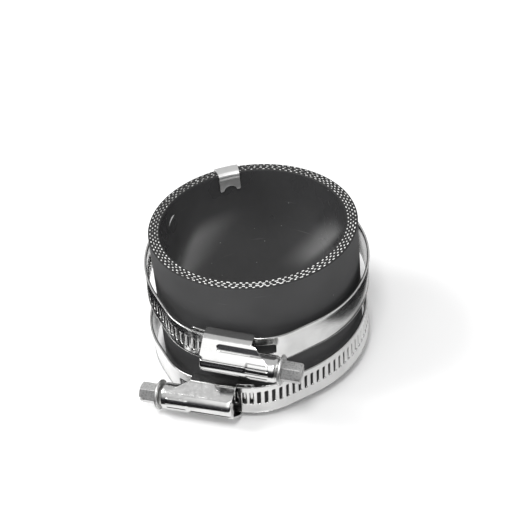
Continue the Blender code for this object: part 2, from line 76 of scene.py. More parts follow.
# Knitted plies: the inset of each one from the bore, how far its strand swings across the rim,
# how far the yarn stands out of the upper and the lower rim, and where it dips least and is clean
STITCH_POINTS = 12                  # along one stitch of the strand
PLY_INSETS = (0.7 * MM, 2.4 * MM)
PLY_DEPTH = 0.85 * MM
PLY_SEED_STEP = 20
YARN_PROUD = 0.15 * MM
YARN_FLUSH = 0.05 * MM
YARN_DIP = 2.2                      # in radii of the yarn
FRONT_ANGLE = radians(-85.0)
CLEAN_ANGLE = radians(-60.0)
SOAKED_YARN = (0.045, 0.042, 0.038)

# How the strand wanders: its phase, its reach across the rim and its depth
LOOSENESS = 1.3
SWING = 1.7                         # past 1 the strand rests along each face of its ply
REACH_WANDER = 0.10 * MM
DEPTH_WANDER = 0.16 * MM
FRONT_POWER = 9.0
FRONT_LIFT = 0.72                   # share of the dip that is left out at the front
FULL_DIP = 1.05
DIP_POWER = 0.6

# How clean the yarn is
CLEAN_POWER = 0.8
CLEAN_SHARE = 0.75
STAIN = 1.9
TONE_BASE = 0.35
TONE_LOW = 0.03

# Marks on the bore: painted sheen patches that slant down round it, and a small chalk mark. A patch
# of painted sheen is given by the azimuth of its brighter edge at mid height, its reach from there and
# its height range
SHEEN_SLANT = 0.7 * MM / radians(1.0)
SHEEN_LEAD = 1 / 20                 # of the reach, where the smear begins before its edge
SHEEN_RISE = 1 / 4
SHEEN_FALL = 1 / 5
SHEEN_CORE = 0.3                    # of the half height, at full strength
SHEEN_PATCHES = ((radians(147.0), radians(-44.0), 11.0 * MM, 37.0 * MM),
          (radians(30.5), radians(24.0), 5.0 * MM, 44.0 * MM))
# Lighter colour of the painted sheen on the bore's inner wall
SHEEN_COLOUR = (0.22, 0.22, 0.22)
CHALK_AZIMUTH = radians(152.5)
CHALK_HEIGHT = 45.5 * MM
CHALK_SLANT = 0.4
CHALK_HALF_LENGTH = 2.5 * MM
CHALK_HALF_WIDTH = 0.5 * MM
CHALK_BOW = 0.6 * MM
CHALK_COLOUR = (0.95, 0.95, 0.94)

# Clamp sizes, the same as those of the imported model
BAND_WIDTH = 12.0 * MM
BAND_THICKNESS = 0.7 * MM
BAND_EDGE_WIDTH = 0.9 * MM
BAND_EDGE_RISE = 0.2 * MM
BAND_TIP_CORNER = 1.2 * MM
LAYER_STEP = 1.6 * MM
TONGUE_REACH = 5.6 * MM
FREE_END_INSET = 0.4 * MM
SLOT_PITCH = 2.38 * MM
SLOT_LENGTH = 5.4 * MM
SLOT_SKEW = 0.45 * MM
SLOT_COUNT = 42
LAST_SLOT_INSET = 3.6 * MM
WINDOW_LENGTH = 8.8 * MM
WINDOW_WIDTH = 4.4 * MM
WINDOW_OFFSET = 0.2 * MM
LOOP_RADIUS = HOSE_RADIUS + 1.45 * MM + BAND_THICKNESS / 2
FLAT_DISTANCE = HOSE_RADIUS + 2.95 * MM + BAND_THICKNESS / 2
CORNER_RADIUS = 21.0 * MM
FLAT_HALF = 6.0 * MM
SHEET = 0.7 * MM
BODY_HALF_WIDTH = BAND_WIDTH / 2 + GAP + SHEET
BODY_START = 6.9 * MM
BODY_END = 9.8 * MM
NECK_START = 16.4 * MM
NECK_END = 19.6 * MM
NECK_LIP = 1.2 * MM
PLATE_END = 9.0 * MM
TAB_WIDTH = 3.0 * MM
TUNNEL_RADIUS = 4.6 * MM
TUNNEL_OFFSET = 0.8 * MM
FLOOR_OUT = -BAND_THICKNESS / 2 - GAP - SHEET
SHOULDER_OUT = LAYER_STEP + BAND_THICKNESS / 2 + BAND_EDGE_RISE + GAP + SHEET
SCREW_OUT = 5.75 * MM
GROOVE_RADIUS = 2.6 * MM
FLANGE_RADIUS = 5.3 * MM
FLANGE_THICKNESS = 1.0 * MM
HEX_HALF_FLATS = 3.175 * MM
HEX_LENGTH = 6.4 * MM
HEX_CHAMFER = 0.5 * MM
HEAD_END = NECK_END + GAP + FLANGE_THICKNESS + HEX_LENGTH
DRIVER_SLOT_WIDTH = 1.1 * MM
DRIVER_SLOT_DEPTH = 1.8 * MM
SCREW_PLACE = Vector((0.0, -FLAT_DISTANCE - SCREW_OUT, -TUNNEL_OFFSET))

# Lean of each clamp's axis, turn of its screw, and whether its head points left
CLAMPS = {
    "upper": ((0.034, -0.100), radians(-19.2), False),
    "lower": ((-0.042, -0.017), radians(-22.2), True),
}

# Rim clip
CLIP_AZIMUTH = radians(102.3)
CLIP_WIDTH = 8.8 * MM
CLIP_SHEET = 0.4 * MM
CLIP_INNER_LEG = 7.2 * MM
CLIP_CREASE = 2.3 * MM
CLIP_BULGE = 0.5 * MM
CLIP_TOOTH = 1.7 * MM
CLIP_NOTCH = 1.9 * MM
CLIP_HOOK = 1.4 * MM
CLIP_CORNER = 0.45 * MM             # how far the teeth's outer corners are rounded up
CLIP_CORNER_START = 0.90            # share of the half width where that begins
CLIP_TOOTH_ROWS = 8                 # rows of the inner leg that follow the teeth
CLIP_BENDS = (0.35 * MM, 0.5 * MM, 0.4 * MM, 0.35 * MM, 0.3 * MM, 0.3 * MM, 0.5 * MM, 0.5 * MM)

# Camera, measured from the middle of the rim; the photograph is square
CAMERA_FROM_RIM = Vector((0.05, -388.49, 283.29)) * MM
CAMERA_RIGHT = Vector((0.99500, -0.06079, -0.07929))
CAMERA_FORWARD = Vector((0.0, 0.79355, -0.60850))
SENSOR_WIDTH = 36.0
LENS = 97.52

# Softboxes: name, the look that holds the power, place, width and depth, all in metres
SOFTBOXES = (
    ("left_light", "left", (-0.68, 0.05, 0.74), 0.40, 0.40),
    ("right_card", "right", (0.85, -0.42, 0.16), 0.45, 0.40),
    ("front_light", "front", (-0.20, -0.85, 0.78), 1.20, 0.80),
    ("key_light", "key", (-0.08, -0.50, 0.90), 0.22, 0.22),
)

# Flag card: its reach at the sides and the back, its reach in front, and where in front it faces
FLAG_NARROW = 105 * MM
FLAG_FAR = 2.5
FLAG_SIDES = 180
FLAG_FACING = radians(-105)
FLAG_FADE = (radians(70), radians(55))
FLAG_HEIGHT = 0.5 * MM


class HoseLooks(bpy.types.PropertyGroup):
    """Looks of the rubber sleeve and of the knitted plies on its cut rims."""

    rubber: FloatVectorProperty(name="Rubber", description="Colour of the moulded rubber",
                                subtype="COLOR", default=(0.042, 0.042, 0.043), min=0, max=1)
    cut_rubber: FloatVectorProperty(name="Cut rubber", description="Colour of the cut rims",
                                    subtype="COLOR", default=(0.010, 0.010, 0.010), min=0, max=1)
    outer_roughness: FloatProperty(name="Outer roughness", description="Roughness of the outer wall",
                                   default=0.66, min=0, max=1)
    bore_roughness: FloatProperty(name="Bore roughness", description="Roughness of the bore",
                                  default=0.27, min=0, max=1)
    edge_round: FloatProperty(name="Edge round", description="Rounding of the cut edges",
                              unit="LENGTH", default=0.3 * MM, min=0.1 * MM, max=1.5 * MM)
    stitches: IntProperty(name="Stitches", description="Stitches of the inner ply round the rim",
                          default=98, min=12, max=300)
    yarn: FloatProperty(name="Yarn", description="Radius of the yarn", unit="LENGTH",
                        default=0.24 * MM, min=0.05 * MM, max=0.5 * MM)
    yarn_colour: FloatVectorProperty(name="Yarn colour", description="Colour of the clean yarn",
                                     subtype="COLOR", default=(0.90, 0.90, 0.89), min=0, max=1)
    seed: IntProperty(name="Seed", description="Seed of the yarn's stains", default=4)


class ClampLooks(bpy.types.PropertyGroup):
    """Looks of the clamps and the clip."""

    steel: FloatVectorProperty(name="Steel", description="Colour of the bright steel",
                               subtype="COLOR", default=(0.66, 0.66, 0.655), min=0, max=1)
    roughness: FloatProperty(name="Roughness", description="Roughness of the bright steel",
                             default=0.13, min=0, max=1)
    slot_width: FloatProperty(name="Slot width", description="Width of a thread slot",
                              unit="LENGTH", default=1.1 * MM, min=0.3 * MM, max=1.5 * MM)
    slot_press: FloatProperty(name="Slot pressing", unit="LENGTH", default=0.42 * MM, min=0,
                              max=0.6 * MM, description="How far a slot's leading lip is pressed in")
    groove_depth: FloatProperty(name="Groove depth", unit="LENGTH", default=1.0 * MM, min=0,
                                max=1.2 * MM, description="Depth of the housing's pressed groove")
    groove_half: FloatProperty(name="Groove half width", unit="LENGTH", default=1.3 * MM, min=0,
                               max=2.5 * MM, description="Half width of the pressed groove")
    pad_rise: FloatProperty(name="Pad rise", unit="LENGTH", default=0.2 * MM, min=0,
                            max=0.5 * MM, description="Height of the pads on the neck")
    thread_radius: FloatProperty(name="Thread radius", unit="LENGTH", default=3.6 * MM,
                                 min=3.0 * MM, max=3.7 * MM, description="Crest of the worm")
    bend_radius: FloatProperty(name="Bend radius", unit="LENGTH", default=0.95 * MM,
                               min=0.75 * MM, max=2.0 * MM, description="Bends at the plate")
    shoulder_bend: FloatProperty(name="Shoulder bend", unit="LENGTH", default=3.8 * MM,
                                 min=0.75 * MM, max=4.0 * MM, description="Bends at the shoulders")
    mouth_roll: FloatProperty(name="Mouth roll", unit="LENGTH", default=0.8 * MM, min=0,
                              max=1.0 * MM, description="How far the tunnel's mouth is rolled in")
    neck_pinch: FloatProperty(name="Neck pinch", unit="LENGTH", default=0.65 * MM, min=0,
                              max=0.9 * MM, description="How far the neck's end is drawn in")
    edge_bevel: FloatProperty(name="Edge bevel", unit="LENGTH", default=0.07 * MM, min=0,
                              max=0.2 * MM, description="Bevel of the cut sheet's edges")


class StageLooks(bpy.types.PropertyGroup):
    """Floor and light."""

    floor: FloatVectorProperty(name="Floor", description="Colour of the floor", subtype="COLOR",
                               default=(0.95, 0.95, 0.95), min=0, max=1)
    left: FloatProperty(name="Left light", description="Power of the softbox at the upper left",
                        default=5.5, min=0, max=100)
    right: FloatProperty(name="Right card", description="Power of the low card at the right",
                         default=0.75, min=0, max=100)
    front: FloatProperty(name="Front light", description="Power of the softbox in front",
                         default=2.6, min=0, max=100)
    key: FloatProperty(name="Key light", description="Power of the small light above the camera",
                       default=3.6, min=0, max=100)
    sky: FloatProperty(name="Sky", description="Strength of the sky", default=0.70, min=0, max=5)
    opening: FloatVectorProperty(name="Card opening", description="Half sizes of the flag's opening",
                                 subtype="XYZ", unit="LENGTH", size=2,
                                 default=(54.0 * MM, 80.0 * MM), min=0.05, max=0.5)


class NodeMaker:
    """Adds and joins the nodes of one tree."""

    def __init__(self, tree):
        self.tree = tree

    def add(self, kind, inputs=None, **settings):
        node = self.tree.nodes.new(kind)
        for key, value in settings.items():
            setattr(node, key, value)
        for key, value in (inputs or {}).items():
            if isinstance(value, bpy.types.NodeSocket):
                self.tree.links.new(value, node.inputs[key])
            else:
                node.inputs[key].default_value = value
        return node

    def math(self, operation, *values):
        return self.add("ShaderNodeMath", dict(enumerate(values)), operation=operation).outputs[0]

    def vector(self, operation, *values):
        keys = (0, 1) if operation != "SCALE" else (0, "Scale")
        node = self.add("ShaderNodeVectorMath", dict(zip(keys, values)), operation=operation)
        return node.outputs[0]

    def link(self, source, target):
        self.tree.links.new(source, target)


class GeometryTree(NodeMaker):
    """A Geometry Nodes tree with named inputs and one geometry going in and out."""

    def __init__(self, name):
        super().__init__(bpy.data.node_groups.new(name, "GeometryNodeTree"))
        self.named = {}
        sockets = self.tree.interface
        sockets.new_socket("Geometry", in_out="INPUT", socket_type="NodeSocketGeometry")
        sockets.new_socket("Geometry", in_out="OUTPUT", socket_type="NodeSocketGeometry")
        self.entry = self.add("NodeGroupInput")
        self.exit = self.add("NodeGroupOutput")

    def input(self, name, kind):
        item = self.tree.interface.new_socket(name, in_out="INPUT", socket_type="NodeSocket" + kind)
        self.named[name] = item.identifier
        return self.entry.outputs[name]

    def run(self, item, values):
        """Puts the tree on an object with its inputs set, and returns the plain mesh it makes."""
        modifier = item.modifiers.new(self.tree.name, "NODES")
        modifier.node_group = self.tree
        for name, value in values.items():
            modifier[self.named[name]] = value
        mesh = applied(item)
        item.modifiers.remove(modifier)
        return mesh


def applied(item):
    """The mesh of an object with its modifiers applied."""
    bpy.context.view_layer.update()
    graph = bpy.context.evaluated_depsgraph_get()
    return bpy.data.meshes.new_from_object(item.evaluated_get(graph))


def link_object(name, data):
    item = bpy.data.objects.new(name, data)
    bpy.context.scene.collection.objects.link(item)
    return item


def to_mesh(name, bm):
    """Welds a bmesh, turns its faces outwards and makes it a mesh."""
    bmesh.ops.remove_doubles(bm, verts=bm.verts, dist=0.002 * MM)
    bmesh.ops.recalc_face_normals(bm, faces=bm.faces)
    mesh = bpy.data.meshes.new(name)
    bm.to_mesh(mesh)
    bm.free()
    return mesh


def smooth(mesh, angle=radians(35)):
    mesh.shade_smooth()
    mesh.set_sharp_from_angle(angle=angle)
    return mesh


def bevelled(name, mesh, width):
    """The mesh with a small bevel on its sharp edges."""
    item = link_object(name, mesh)
    bevel = item.modifiers.new("edges", "BEVEL")
    bevel.width = width
    bevel.segments = 2
    bevel.limit_method = "ANGLE"
    bevel.angle_limit = radians(50)
    result = applied(item)
    bpy.data.objects.remove(item, do_unlink=True)
    return result


def show(name, mesh, body, material, replaced=None):
    """Makes a mesh a finished piece that rides on a body."""
    mesh.name = name
    mesh.materials.clear()
    mesh.materials.append(material)
    piece = link_object(name, mesh)
    if replaced is not None:
        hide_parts(replaced)
    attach(piece, body)
    return piece


def smooth_step(low, high, value):
    share = min(max((value - low) / (high - low), 0.0), 1.0)
    return share * share * (3 - 2 * share)


def stations(start, end, longest):
    """Even stations from start to end, both included."""
    count = max(1, ceil((end - start) / longest))
    return [start + (end - start) * step / count for step in range(count + 1)]


def add_sheet(bm, front, back, cells, closed=False):
    """Both sides of a sheet from two grids of vertices, with walls round the cells left out."""
    width = len(front[0])
    cells = set(cells)
    for row, column in cells:
        after = (column + 1) % width if closed else column + 1
        corners = [(row, column), (row + 1, column), (row + 1, after), (row, after)]
        bm.faces.new([front[r][c] for r, c in corners])
        bm.faces.new([back[r][c] for r, c in reversed(corners)])
        before = (column - 1) % width if closed else column - 1
        neighbours = [(row, before), (row + 1, column), (row, after), (row - 1, column)]
        for side, neighbour in enumerate(neighbours):
            if neighbour in cells:
                continue
            r1, c1 = corners[side]
            r2, c2 = corners[(side + 1) % 4]
            bm.faces.new((front[r2][c2], front[r1][c1], back[r1][c1], back[r2][c2]))
    loose = [vert for vert in bm.verts if not vert.link_faces]
    bmesh.ops.delete(bm, geom=loose, context="VERTS")


def revolve(bm, profile, segments, start=0.0, radius_at=None):
    """Turns a profile of (X, radius) about the X axis, closed by its ends at radius 0."""
    rings = []
    for x, radius in profile:
        ring = []
        for step in range(segments):
            angle = start + 2 * pi * step / segments
            reach = radius_at(x, radius, angle) if radius_at else radius
            ring.append(bm.verts.new((x, reach * cos(angle), reach * sin(angle))))
        rings.append(ring)
    for first, second in zip(rings, rings[1:]):
        for step in range(segments):
            after = (step + 1) % segments
            bm.faces.new((first[step], first[after], second[after], second[step]))
    return rings


# Materials


def new_material(name, colour, roughness, metallic):
    material = bpy.data.materials.new(name)
    material.use_nodes = True
    shader = material.node_tree.nodes["Principled BSDF"]
    shader.inputs["Base Color"].default_value = (*colour, 1.0)
    shader.inputs["Roughness"].default_value = roughness
    shader.inputs["Metallic"].default_value = metallic
    return material, NodeMaker(material.node_tree), shader


def tint(make, factor, first, second):
    """Mixes two colours by a factor."""
    mix = make.add("ShaderNodeMix", {0: factor}, data_type="RGBA")
    mix.inputs[6].default_value = (*first, 1.0)
    mix.inputs[7].default_value = (*second, 1.0)
    return mix.outputs[2]


def map_range(make, value, from_low, from_high, to_low, to_high):
    node = make.add("ShaderNodeMapRange", {0: value, 1: from_low, 2: from_high, 3: to_low, 4: to_high})
    return node.outputs[0]


def noise(make, coordinates, scale, detail=3.0):
    node = make.add("ShaderNodeTexNoise", {"Vector": coordinates, "Scale": scale, "Detail": detail})
    return node.outputs["Fac"]


def steel_material(name, colour, roughness, grain, attribute=None, relief=0.06):
    """Bright sheet steel with fine drawn lines along its grain and a few cloudy smudges."""
    material, make, shader = new_material(name, colour, roughness, 1.0)
    if attribute:
        place = make.add("ShaderNodeAttribute", attribute_name=attribute).outputs["Vector"]
    else:
        place = make.add("ShaderNodeTexCoord").outputs["Object"]
    stretched = make.add("ShaderNodeMapping", {"Vector": place, "Scale": grain}).outputs[0]
    lines = noise(make, stretched, 1.0, 4.0)
    clouds = noise(make, place, 160.0, 3.0)
    drawn = map_range(make, lines, 0.3, 0.7, roughness - 0.04, roughness + 0.05)
    smudged = map_range(make, clouds, 0.45, 0.75, 0.0, 0.05)
    make.link(make.math("ADD", drawn, smudged), shader.inputs["Roughness"])
    darker = [value * 0.90 for value in colour]
    make.link(tint(make, map_range(make, clouds, 0.35, 0.7, 0.0, 1.0), colour, darker),
              shader.inputs["Base Color"])
    bump = make.add("ShaderNodeBump", {"Height": lines, "Strength": relief,
                                       "Distance": 0.02 * MM})
    make.link(bump.outputs[0], shader.inputs["Normal"])
    return material


def screw_material(looks):
    """Cold-headed steel: a bright worm, and a rougher grainy head where the attribute says so."""
    head_roughness = 0.22
    pit_depth = 0.55
    pit_shade = 0.45
    colour = [value * 0.95 for value in looks.steel]
    roughness = looks.roughness + 0.08
    material, make, shader = new_material("screw_steel", colour, roughness, 1.0)
    head = make.add("ShaderNodeAttribute", attribute_name="head").outputs["Fac"]
    place = make.add("ShaderNodeTexCoord").outputs["Object"]
    grain = noise(make, place, 1800.0, 3.0)
    clouds = noise(make, place, 400.0, 2.0)
    worn = map_range(make, clouds, 0.3, 0.7, -0.04, 0.06)
    rougher = make.math("MULTIPLY", head, head_roughness)
    make.link(make.math("ADD", make.math("ADD", worn, rougher), roughness), shader.inputs["Roughness"])
    pits = make.math("MULTIPLY", map_range(make, grain, 0.50, 0.62, 0.0, pit_depth), head)
    dark = [value * pit_shade for value in colour]
    make.link(tint(make, pits, colour, dark), shader.inputs["Base Color"])
    bump = make.add("ShaderNodeBump", {"Height": make.math("MULTIPLY", grain, head), "Strength": 0.35,
                                       "Distance": 0.06 * MM})
    make.link(bump.outputs[0], shader.inputs["Normal"])
    return material


def eased(make, value, start, end, first, last):
    node = make.add("ShaderNodeMapRange", {0: value, 1: start, 2: end, 3: first, 4: last},
                    interpolation_type="SMOOTHSTEP")
    return node.outputs[0]


def bore_sheen_and_chalk(make, place, centred, base, bore):
    """Adds the painted sheen patches and the bowed chalk mark to the rubber's colour inside the bore."""
    parts = make.add("ShaderNodeSeparateXYZ", {0: centred}).outputs
    height = make.add("ShaderNodeSeparateXYZ", {0: place}).outputs[2]
    azimuth = make.math("ARCTAN2", parts[1], parts[0])
    lifted = make.math("SUBTRACT", height, HOSE_MIDDLE)
    slanted = make.math("ADD", azimuth, make.math("DIVIDE", lifted, SHEEN_SLANT))
    # Painted sheen: each patch lightens the inner wall where it catches the light, slanting down round
    # the bore
    for edge, reach, low, high in SHEEN_PATCHES:
        half = (high - low) / 2
        rising = (0, 1) if reach > 0 else (1, 0)
        begins = edge - reach * SHEEN_LEAD
        rise = eased(make, slanted, *sorted((begins, edge + reach * SHEEN_RISE)), *rising)
        falls = edge + reach * SHEEN_FALL
        fall = eased(make, slanted, *sorted((falls, edge + reach)), *reversed(rising))
        off = make.math("ABSOLUTE", make.math("SUBTRACT", height, (low + high) / 2))
        window = eased(make, off, half * SHEEN_CORE, half, 1, 0)
        share = make.math("MULTIPLY", rise, fall)
        share = make.math("MULTIPLY", share, make.math("MULTIPLY", window, bore))
        sheened = tint(make, share, SHEEN_COLOUR, SHEEN_COLOUR)
        make.link(base, sheened.node.inputs[6])
        base = sheened
    along = make.math("MULTIPLY", make.math("SUBTRACT", azimuth, CHALK_AZIMUTH), HOSE_BORE_RADIUS)
    out = make.math("POWER", make.math("ABSOLUTE", make.math("DIVIDE", along, CHALK_HALF_LENGTH)), 2.0)
    fullness = make.math("SUBTRACT", 1.0, out)
    across = make.math("ADD", make.math("SUBTRACT", height, CHALK_HEIGHT),
                       make.math("MULTIPLY", along, CHALK_SLANT))
    across = make.math("SUBTRACT", across, make.math("MULTIPLY", fullness, CHALK_BOW))
    width = make.math("MULTIPLY", fullness, CHALK_HALF_WIDTH)
    inside = make.math("LESS_THAN", make.math("ABSOLUTE", across), width)
    chalk = tint(make, make.math("MULTIPLY", inside, bore), CHALK_COLOUR, CHALK_COLOUR)
    make.link(base, chalk.node.inputs[6])
    return chalk


def rubber_material(looks):
    """Dark rubber: soft bloom, fine skin, dust and scuffs, painted sheen patches on the bore, a smoother
    bore and black cut rims.
    """
    colour = tuple(looks.rubber)
    material, make, shader = new_material("sleeve_rubber", colour, looks.outer_roughness, 0.0)
    shader.inputs["Specular IOR Level"].default_value = 0.5
    place = make.add("ShaderNodeTexCoord").outputs["Object"]
    bloom = noise(make, place, 45.0, 3.0)
    skin = noise(make, place, 2600.0, 2.0)
    base = tint(make, map_range(make, bloom, 0.3, 0.75, 0.0, 1.0), colour,
                [value * 1.35 for value in colour])
    cells = make.add("ShaderNodeTexVoronoi", {"Vector": place, "Scale": 290.0})
    near = make.math("LESS_THAN", cells.outputs["Distance"], 0.055)
    chosen = make.add("ShaderNodeSeparateColor", {0: cells.outputs["Color"]}).outputs[0]
    dust = make.math("MULTIPLY", near, make.math("GREATER_THAN", chosen, 0.72))
    streaks = make.add("ShaderNodeMapping", {"Vector": place, "Scale": (60.0, 60.0, 1400.0),
                                             "Rotation": (0.06, -0.05, 0.0)}).outputs[0]
    scuff = map_range(make, noise(make, streaks, 1.0, 2.0), 0.70, 0.80, 0.0, 0.25)
    marked = tint(make, make.math("MAXIMUM", dust, scuff), colour, (0.34, 0.34, 0.34))
    make.link(base, marked.node.inputs[6])
    height = make.add("ShaderNodeSeparateXYZ", {0: place}).outputs[2]
    off_middle = make.math("ABSOLUTE", make.math("SUBTRACT", height, HOSE_MIDDLE))
    reach = HOSE_HIGH.z - HOSE_MIDDLE
    cut = map_range(make, off_middle, reach - looks.edge_round, reach - 0.1 * MM, 0.0, 1.0)
    centred = make.add("ShaderNodeMapping", {"Vector": place, "Location": -HOSE_AXIS,
                                             "Scale": (1.0, 1.0, 0.0)}).outputs[0]
    radius = make.add("ShaderNodeVectorMath", {0: centred}, operation="LENGTH").outputs["Value"]
    bore = make.math("LESS_THAN", radius, HOSE_BORE_RADIUS + HOSE_WALL / 4)
    # Painted sheen patches on the bore's inner wall, and the chalk mark
    marked = bore_sheen_and_chalk(make, place, centred, marked, bore)
    faced = tint(make, cut, colour, tuple(looks.cut_rubber))
    make.link(marked, faced.node.inputs[6])
    make.link(faced, shader.inputs["Base Color"])
    smoothness = map_range(make, radius, HOSE_BORE_RADIUS, HOSE_RADIUS, looks.bore_roughness,
                           looks.outer_roughness)
    worn = map_range(make, bloom, 0.2, 0.8, -0.02, 0.04)
    edge = map_range(make, off_middle, reach - 3 * looks.edge_round, reach - looks.edge_round, 0.0, 0.6)
    make.link(make.math("MAXIMUM", make.math("ADD", smoothness, worn), edge), shader.inputs["Roughness"])
    bump = make.add("ShaderNodeBump", {"Height": skin, "Strength": 0.25, "Distance": 0.05 * MM})
    make.link(bump.outputs[0], shader.inputs["Normal"])
    return material


def yarn_material(looks):
    """Cut yarn with its fibres, from clean and light to soaked with rubber by its own tone."""
    colour = tuple(looks.yarn_colour)
    material, make, shader = new_material("ply_yarn", colour, 0.7, 0.0)
    tone = make.add("ShaderNodeAttribute", attribute_name="tone").outputs["Fac"]
    make.link(tint(make, tone, SOAKED_YARN, colour), shader.inputs["Base Color"])
    place = make.add("ShaderNodeTexCoord").outputs["Object"]
    bump = make.add("ShaderNodeBump", {"Height": noise(make, place, 6000.0, 2.0), "Strength": 0.4,
                                       "Distance": 0.05 * MM})
    make.link(bump.outputs[0], shader.inputs["Normal"])
    return material


# Sleeve


def sleeve_mesh(edge_round):
    """The wall turned about the hose axis, with rounded cut edges."""
    arc_steps = 5
    segments = 256
    profile = []
    corners = ((HOSE_BORE_RADIUS, HOSE_LOW.z, 1, 1), (HOSE_RADIUS, HOSE_LOW.z, -1, 1),
               (HOSE_RADIUS, HOSE_HIGH.z, -1, -1), (HOSE_BORE_RADIUS, HOSE_HIGH.z, 1, -1))
    for index, (radius, height, inward, upward) in enumerate(corners):
        arc = []
        for step in range(arc_steps + 1):
            angle = pi / 2 * step / arc_steps
            arc.append((radius + inward * edge_round * (1 - sin(angle)),
                        height + upward * edge_round * (1 - cos(angle))))
        profile += arc if index % 2 else arc[::-1]
        following = corners[(index + 1) % 4]
        if index % 2:
            side = stations(height, following[1], 4 * MM)[1:-1]
            profile += [(radius, z) for z in side]
        else:
            side = stations(radius, following[0], MM)[1:-1]
            profile += [(r, height) for r in side]
    bm = bmesh.new()
    rings = []
    for radius, height in profile:
        ring = []
        for step in range(segments):
            angle = 2 * pi * step / segments
            ring.append(bm.verts.new((HOSE_AXIS.x + radius * cos(angle),
                                      HOSE_AXIS.y + radius * sin(angle), height)))
        rings.append(ring)
    for first, second in zip(rings, rings[1:] + rings[:1]):
        for step in range(segments):
            after = (step + 1) % segments
            bm.faces.new((first[step], first[after], second[after], second[step]))
    return smooth(to_mesh("sleeve", bm), radians(60))


def ply_tree():
    """Knitted yarn in a cut rim: a strand swings from one face of its ply to the other.

    Where it turns it lies along the rim and shows. Between the turns it dips into the rubber,
    least at the front, and its tone fades away from the clean side.
    """
    tree = GeometryTree("Knitted ply")
    stitches = tree.input("Stitches", "Int")
    inner = tree.input("Inner Radius", "Float")
    outer = tree.input("Outer Radius", "Float")
    height = tree.input("Height", "Float")
    upward = tree.input("Upward", "Float")
    dip = tree.input("Dip", "Float")
    yarn = tree.input("Yarn Radius", "Float")
    front = tree.input("Front Angle", "Float")
    clean = tree.input("Clean Angle", "Float")
    seed = tree.input("Seed", "Int")
    material = tree.input("Material", "Material")

    circle = tree.add("GeometryNodeMeshCircle", {
        "Vertices": tree.math("MULTIPLY", stitches, STITCH_POINTS), "Radius": inner})
    strand = tree.add("GeometryNodeMeshToCurve", {0: circle.outputs[0]}).outputs[0]
    parts = tree.add("ShaderNodeSeparateXYZ",
                     {0: tree.add("GeometryNodeInputPosition").outputs[0]}).outputs
    angle = tree.math("ARCTAN2", parts[1], parts[0])
    phase = tree.math("MULTIPLY", angle, stitches)

    def toward(direction, power):
        """From 1 at a direction round the rim to 0 opposite it."""
        away = tree.math("COSINE", tree.math("SUBTRACT", angle, direction))
        share = tree.math("ADD", tree.math("MULTIPLY", away, 0.5), 0.5)
        return tree.math("POWER", share, power)

    def spread(offset, scale):
        """Noise round the rim, about -1 to 1; each use has an offset of its own."""
        place = tree.add("ShaderNodeCombineXYZ", {
            0: tree.math("MULTIPLY", angle, scale), 1: tree.math("ADD", seed, offset)}).outputs[0]
        node = tree.add("ShaderNodeTexNoise", {"Vector": place, "Scale": 1.0, "Detail": 1.0})
        return tree.math("MULTIPLY", tree.math("SUBTRACT", node.outputs["Fac"], 0.5), 2.0)

    loosened = tree.math("ADD", phase, tree.math("MULTIPLY", spread(0.3, 60.0), LOOSENESS))
    swing = tree.math("MULTIPLY", tree.math("SINE", loosened), SWING)
    swing = tree.math("MINIMUM", tree.math("MAXIMUM", swing, -1.0), 1.0)
    share = tree.math("ADD", tree.math("MULTIPLY", swing, 0.5), 0.5)
    reach = tree.math("ADD", inner, tree.math("MULTIPLY", tree.math("SUBTRACT", outer, inner), share))
    reach = tree.math("ADD", reach, tree.math("MULTIPLY", spread(7.3, 90.0), REACH_WANDER))
    crossing = tree.math("SUBTRACT", 1.0, tree.math("ABSOLUTE", swing))
    shallow = tree.math("MULTIPLY", toward(front, FRONT_POWER), FRONT_LIFT)
    depth = tree.math("MULTIPLY", dip, tree.math("SUBTRACT", FULL_DIP, shallow))
    depth = tree.math("MULTIPLY", depth, tree.math("POWER", crossing, DIP_POWER))
    depth = tree.math("ADD", depth, tree.math("MULTIPLY", spread(3.1, 130.0), DEPTH_WANDER))
    level = tree.math("SUBTRACT", height, tree.math("MULTIPLY", upward, depth))
    position = tree.add("ShaderNodeCombineXYZ", {
        0: tree.math("MULTIPLY", reach, tree.math("COSINE", angle)),
        1: tree.math("MULTIPLY", reach, tree.math("SINE", angle)), 2: level}).outputs[0]
    waved = tree.add("GeometryNodeSetPosition", {"Geometry": strand, "Position": position})
    stain = tree.math("MULTIPLY", spread(11.7, 150.0), STAIN)
    tone = tree.math("MULTIPLY", toward(clean, CLEAN_POWER), CLEAN_SHARE)
    tone = tree.math("ADD", tree.math("ADD", tone, stain), TONE_BASE)
    tone = tree.math("MINIMUM", tree.math("MAXIMUM", tone, TONE_LOW), 1.0)
    toned = tree.add("GeometryNodeStoreNamedAttribute",
                     {"Geometry": waved.outputs[0], "Name": "tone", "Value": tone},
                     data_type="FLOAT", domain="POINT")
    section = tree.add("GeometryNodeCurvePrimitiveCircle", {"Resolution": 6, "Radius": yarn})
    tube = tree.add("GeometryNodeCurveToMesh",
                    {"Curve": toned.outputs[0], "Profile Curve": section.outputs[0]})
    solid = tree.add("GeometryNodeRealizeInstances", {0: tube.outputs[0]})
    done = tree.add("GeometryNodeSetMaterial", {0: solid.outputs[0], "Material": material})
    tree.link(done.outputs[0], tree.exit.inputs[0])
    return tree


# Clamp loop and band


def belt_angles():
    """Turn of the belt's normal at the end of the corner arc, and the straight side's length."""
    centre_distance = FLAT_DISTANCE - CORNER_RADIUS
    reach = hypot(FLAT_HALF, centre_distance)
    turn = atan2(FLAT_HALF, centre_distance) + acos((LOOP_RADIUS - CORNER_RADIUS) / reach)
    return turn, sqrt(reach ** 2 - (LOOP_RADIUS - CORNER_RADIUS) ** 2)


